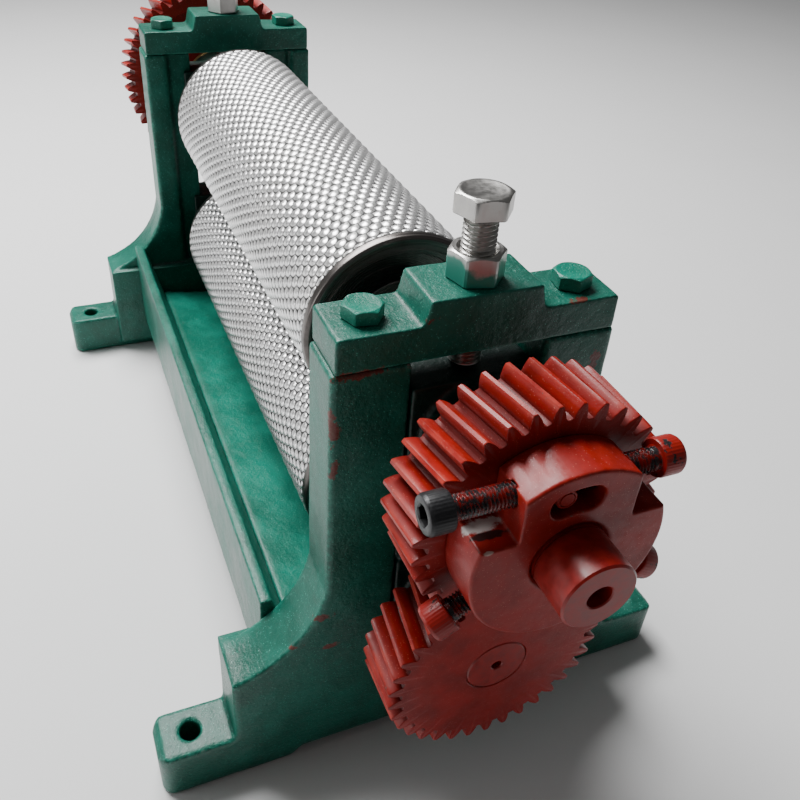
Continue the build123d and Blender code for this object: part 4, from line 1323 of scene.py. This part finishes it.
def socket_screw_points(length, turn):
    """Rings along +Z from the tip: chamfer, thread, head with knurling, socket walls and floor."""
    rings = round_rings(turn, 0.0, (2.9, 0), (3.2, 0.5))
    rings += thread_rings(turn, 4.0 * MM, 1.25 * MM, 0.6 * MM, length - 1.5 * MM, 0.75 * MM)
    rings += round_rings(turn, length, (4.0, -0.3), (4.4, 0), (6.2, 0))
    knurl = 6.5 * MM - 0.09 * MM * (0.5 + 0.5 * np.cos(turn * 36))
    rings += [(knurl - 0.1 * MM, length + 0.3 * MM), (knurl, length + 0.8 * MM)]
    rings += [(knurl, length + 6.6 * MM)]
    rings += round_rings(turn, length, (6.4, 7), (5.9, 7.8), (5.5, 8), (3.75, 8))
    socket = hexagon_radius(turn, 6 * MM)
    rings += [(socket, length + 7.6 * MM), (socket, length + 3.5 * MM)]
    rings += round_rings(turn, length, (0.4, 3))
    return stack_rings(0, 0, turn, rings)


def along(points, origin, direction):
    """Turns +Z onto a direction in the XZ plane and moves the tip to the origin."""
    x, y, z = points[..., 0], points[..., 1], points[..., 2]
    dx, dz = direction
    return np.stack([origin[0] + z * dx + x * dz, origin[1] + y, origin[2] + z * dz - x * dx], -1)


def socket_screw(name, length, turn, origin, direction):
    """The finished screw mesh, with an attribute that is 1 on the thread and 0 on the head."""
    upright = socket_screw_points(length, turn)
    mesh = cap_off(name, along(upright, origin, direction), 30)
    thread = (upright[..., 2] < length - 0.2 * MM).ravel()
    values = np.zeros(len(mesh.vertices))
    values[: len(thread)] = thread
    mark_points(mesh, "thread", values)
    return mesh


SCREW_TURN = np.linspace(0, 2 * math.pi, 144, endpoint=False)
SCREW_Y = sum(stretch("left_phase_screw")) / 2
SCREW_Z = axis_height("left_phase_screw")
SCREW_LENGTH = 31.6 * MM
SIDES = (("left", -1, BLACK, "black_oxide"), ("right", 1, WORN_RED, "worn_red_paint"))
for side, sign, finish, slot_name in SIDES:
    low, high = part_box(side + "_phase_screw")
    tip = (high[0] if sign < 0 else low[0], SCREW_Y, SCREW_Z)
    mesh = socket_screw(side + " phase screw body", SCREW_LENGTH, SCREW_TURN, tip, (sign, 0.0))
    node = side + "_phase_screw"
    piece("knurled_" + node, mesh, node, finish, [node])

LOCK_TIP_R = SHAFT_R + 0.05 * MM
LOCK_LENGTH = 41 * MM - LOCK_TIP_R
for number, degrees in enumerate((212.0, -32.0)):
    direction = (math.cos(math.radians(degrees)), math.sin(math.radians(degrees)))
    tip = (LOCK_TIP_R * direction[0], SCREW_Y, UPPER_Z + LOCK_TIP_R * direction[1])
    mesh = socket_screw(f"hub lock screw {number + 1} body", LOCK_LENGTH, SCREW_TURN, tip, direction)
    replaced = ["hub_lock_screws"] if number == 0 else []
    name = f"knurled_hub_lock_screw_{number + 1}"
    piece(name, mesh, "upper_roller", WORN_RED, replaced)

# %% [markdown]
# ## The stud
#
# The stud is a short turned pin whose painted end, flat inside a raised rim, stands in the hub's slot.

# %% The stud
STUD_X = (STUD_LOW[0] + STUD_HIGH[0]) / 2
STUD_R = (STUD_HIGH[0] - STUD_LOW[0]) / 2
STUD_END, STUD_FOOT = STUD_LOW[1], STUD_HIGH[1]
STUD_STEPS = ((0, 0), (0, 0.66), (0.6, 0.68), (0.6, 0.76), (0.1, 0.79), (0.1, 0.92), (0.45, 1))
stud_profile = [(STUD_END + depth * MM, share * STUD_R) for depth, share in STUD_STEPS]
stud_profile += [(STUD_FOOT, STUD_R), (STUD_FOOT, 0)]
stud = lathe_mesh("phase stud body", stud_profile, STUD_Z, 64)
stud.transform(Matrix.Translation((STUD_X, 0, 0)))
mark_even(stud)
piece("turned_phase_stud", stud, "upper_gear", RED_STUD, ["phase_stud"])

# %% [markdown]
# ## Lift springs
#
# A coil spring stands between the two bearing blocks at each end. Its wire's middle line is a helix
# with closed end turns. The spring stretches when the upper roller lifts; here it is one fixed mesh
# at its rest height.

# %% The springs


def spring_mesh(name, x, y, low, high, coil_r, wire_r, turns, around=14, per_turn=36):
    """Tube round a helix: the height grows slowly over the closed turns at both ends and evenly
    between them, and each ring of the tube lies in the plane of the radius and the axis."""
    closed = 0.1
    share = np.linspace(0, 1, int(turns * per_turn))
    turn = share * turns * 2 * math.pi
    end_rise = 2 * wire_r * 0.45
    height = low + wire_r + end_rise * np.clip(share / closed, 0, 1)
    even_rise = high - low - 2 * wire_r - 2 * end_rise
    height += np.clip((share - closed) / (1 - 2 * closed), 0, 1) * even_rise
    height += end_rise * np.clip((share - 1 + closed) / closed, 0, 1)
    ring = np.linspace(0, 2 * math.pi, around, endpoint=False)
    radius = coil_r + wire_r * np.cos(ring)[None, :]
    z = height[:, None] + wire_r * np.sin(ring)[None, :]
    points = np.stack([x + radius * np.cos(turn)[:, None], y + radius * np.sin(turn)[:, None], z], -1)
    return cap_off(name, points, 60)


for end in ("front", "rear"):
    low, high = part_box(end + "_lift_spring")
    outer = (high[0] - low[0]) / 2
    wire = 1.25 * MM
    middle = (low[1] + high[1]) / 2
    mesh = spring_mesh(end + " lift spring body", 0, middle, low[2], high[2], outer - wire, wire, 8)
    mesh.materials.append(SPRING)
    spring = new_object(f"coiled_{end}_lift_spring", mesh)
    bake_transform(spring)
    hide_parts(end + "_lift_spring")
    print(spring.name, len(mesh.polygons), "faces")

# %% [markdown]
# ## What stays as CAD
#
# The drive gear's key is right as it is and only gets its finish.

# %% The key
for material_slot in frame["nodes"]["drive_gear_key"].material_slots:
    material_slot.material = SHAFT_UPPER

# %% [markdown]
# ## Floor, light and camera
#
# A pale floor and a large soft lamp overhead, a little behind, leave the end that faces the camera
# in shade, so its dark sides and bright tops separate. A low pale sky fills the shadows.

# %% The studio


def floor():
    """A plain square, eight metres wide, a hair below the feet."""
    corners = np.array([[-4, -4, 0], [4, -4, 0], [4, 4, 0], [-4, 4, 0]], float)
    mesh = mesh_from("floor", corners, np.array([[0, 1, 2, 3]]))
    material, sketch, shader, place = start_material("pale floor")
    tone = sketch.mix(sketch.noise(place, 6.0), (0.72, 0.72, 0.72, 1), (0.76, 0.76, 0.76, 1))
    sketch.feed(shader["Base Color"], tone)
    set_constants(shader, Roughness=0.8)
    mesh.materials.append(material)
    made = new_object("floor", mesh)
    made.location.z = -0.2 * MM


def lamp(name, place, target, size, power):
    """A rectangular lamp at a place, turned to face its target."""
    data = bpy.data.lights.new(name, "AREA")
    data.shape = "RECTANGLE"
    data.size, data.size_y = size
    data.energy = power
    made = new_object(name, data)
    made.location = place
    sight = Vector(target) - made.location
    made.rotation_euler = sight.to_track_quat("-Z", "Y").to_euler()


def sky(brightness):
    """An even white sky."""
    world = bpy.data.worlds.new("studio")
    bpy.context.scene.world = world
    world.use_nodes = True
    backdrop = world.node_tree.nodes["Background"]
    backdrop.inputs[0].default_value = (1.0, 1.0, 1.0, 1)
    backdrop.inputs[1].default_value = brightness


floor()
sky(0.11)
lamp("overhead", (-0.25, 0.60, 1.20), (0, 0, 0.12), (0.9, 0.6), 46.0)
lamp("left window", (-1.5, 0.1, 0.45), (0, -0.05, 0.15), (0.7, 0.7), 6.0)


def camera(place, azimuth, elevation, roll, focal):
    """Looks along azimuth from +Y and down by elevation, tilted by roll about its own line of sight."""
    data = bpy.data.cameras.new("camera")
    data.lens = focal
    data.clip_start = 0.01
    made = new_object("camera", data)
    turns = (azimuth, "Z"), (90 - elevation, "X"), (roll, "Z")
    heading, tilt, lean = (Matrix.Rotation(math.radians(angle), 4, axis) for angle, axis in turns)
    made.matrix_world = Matrix.Translation(place) @ (heading @ tilt) @ lean
    bpy.context.scene.camera = made


camera((-0.1287, -0.4064, 0.3731), -25.25, 36.88, 4.65, 38.2)
print("studio ready")
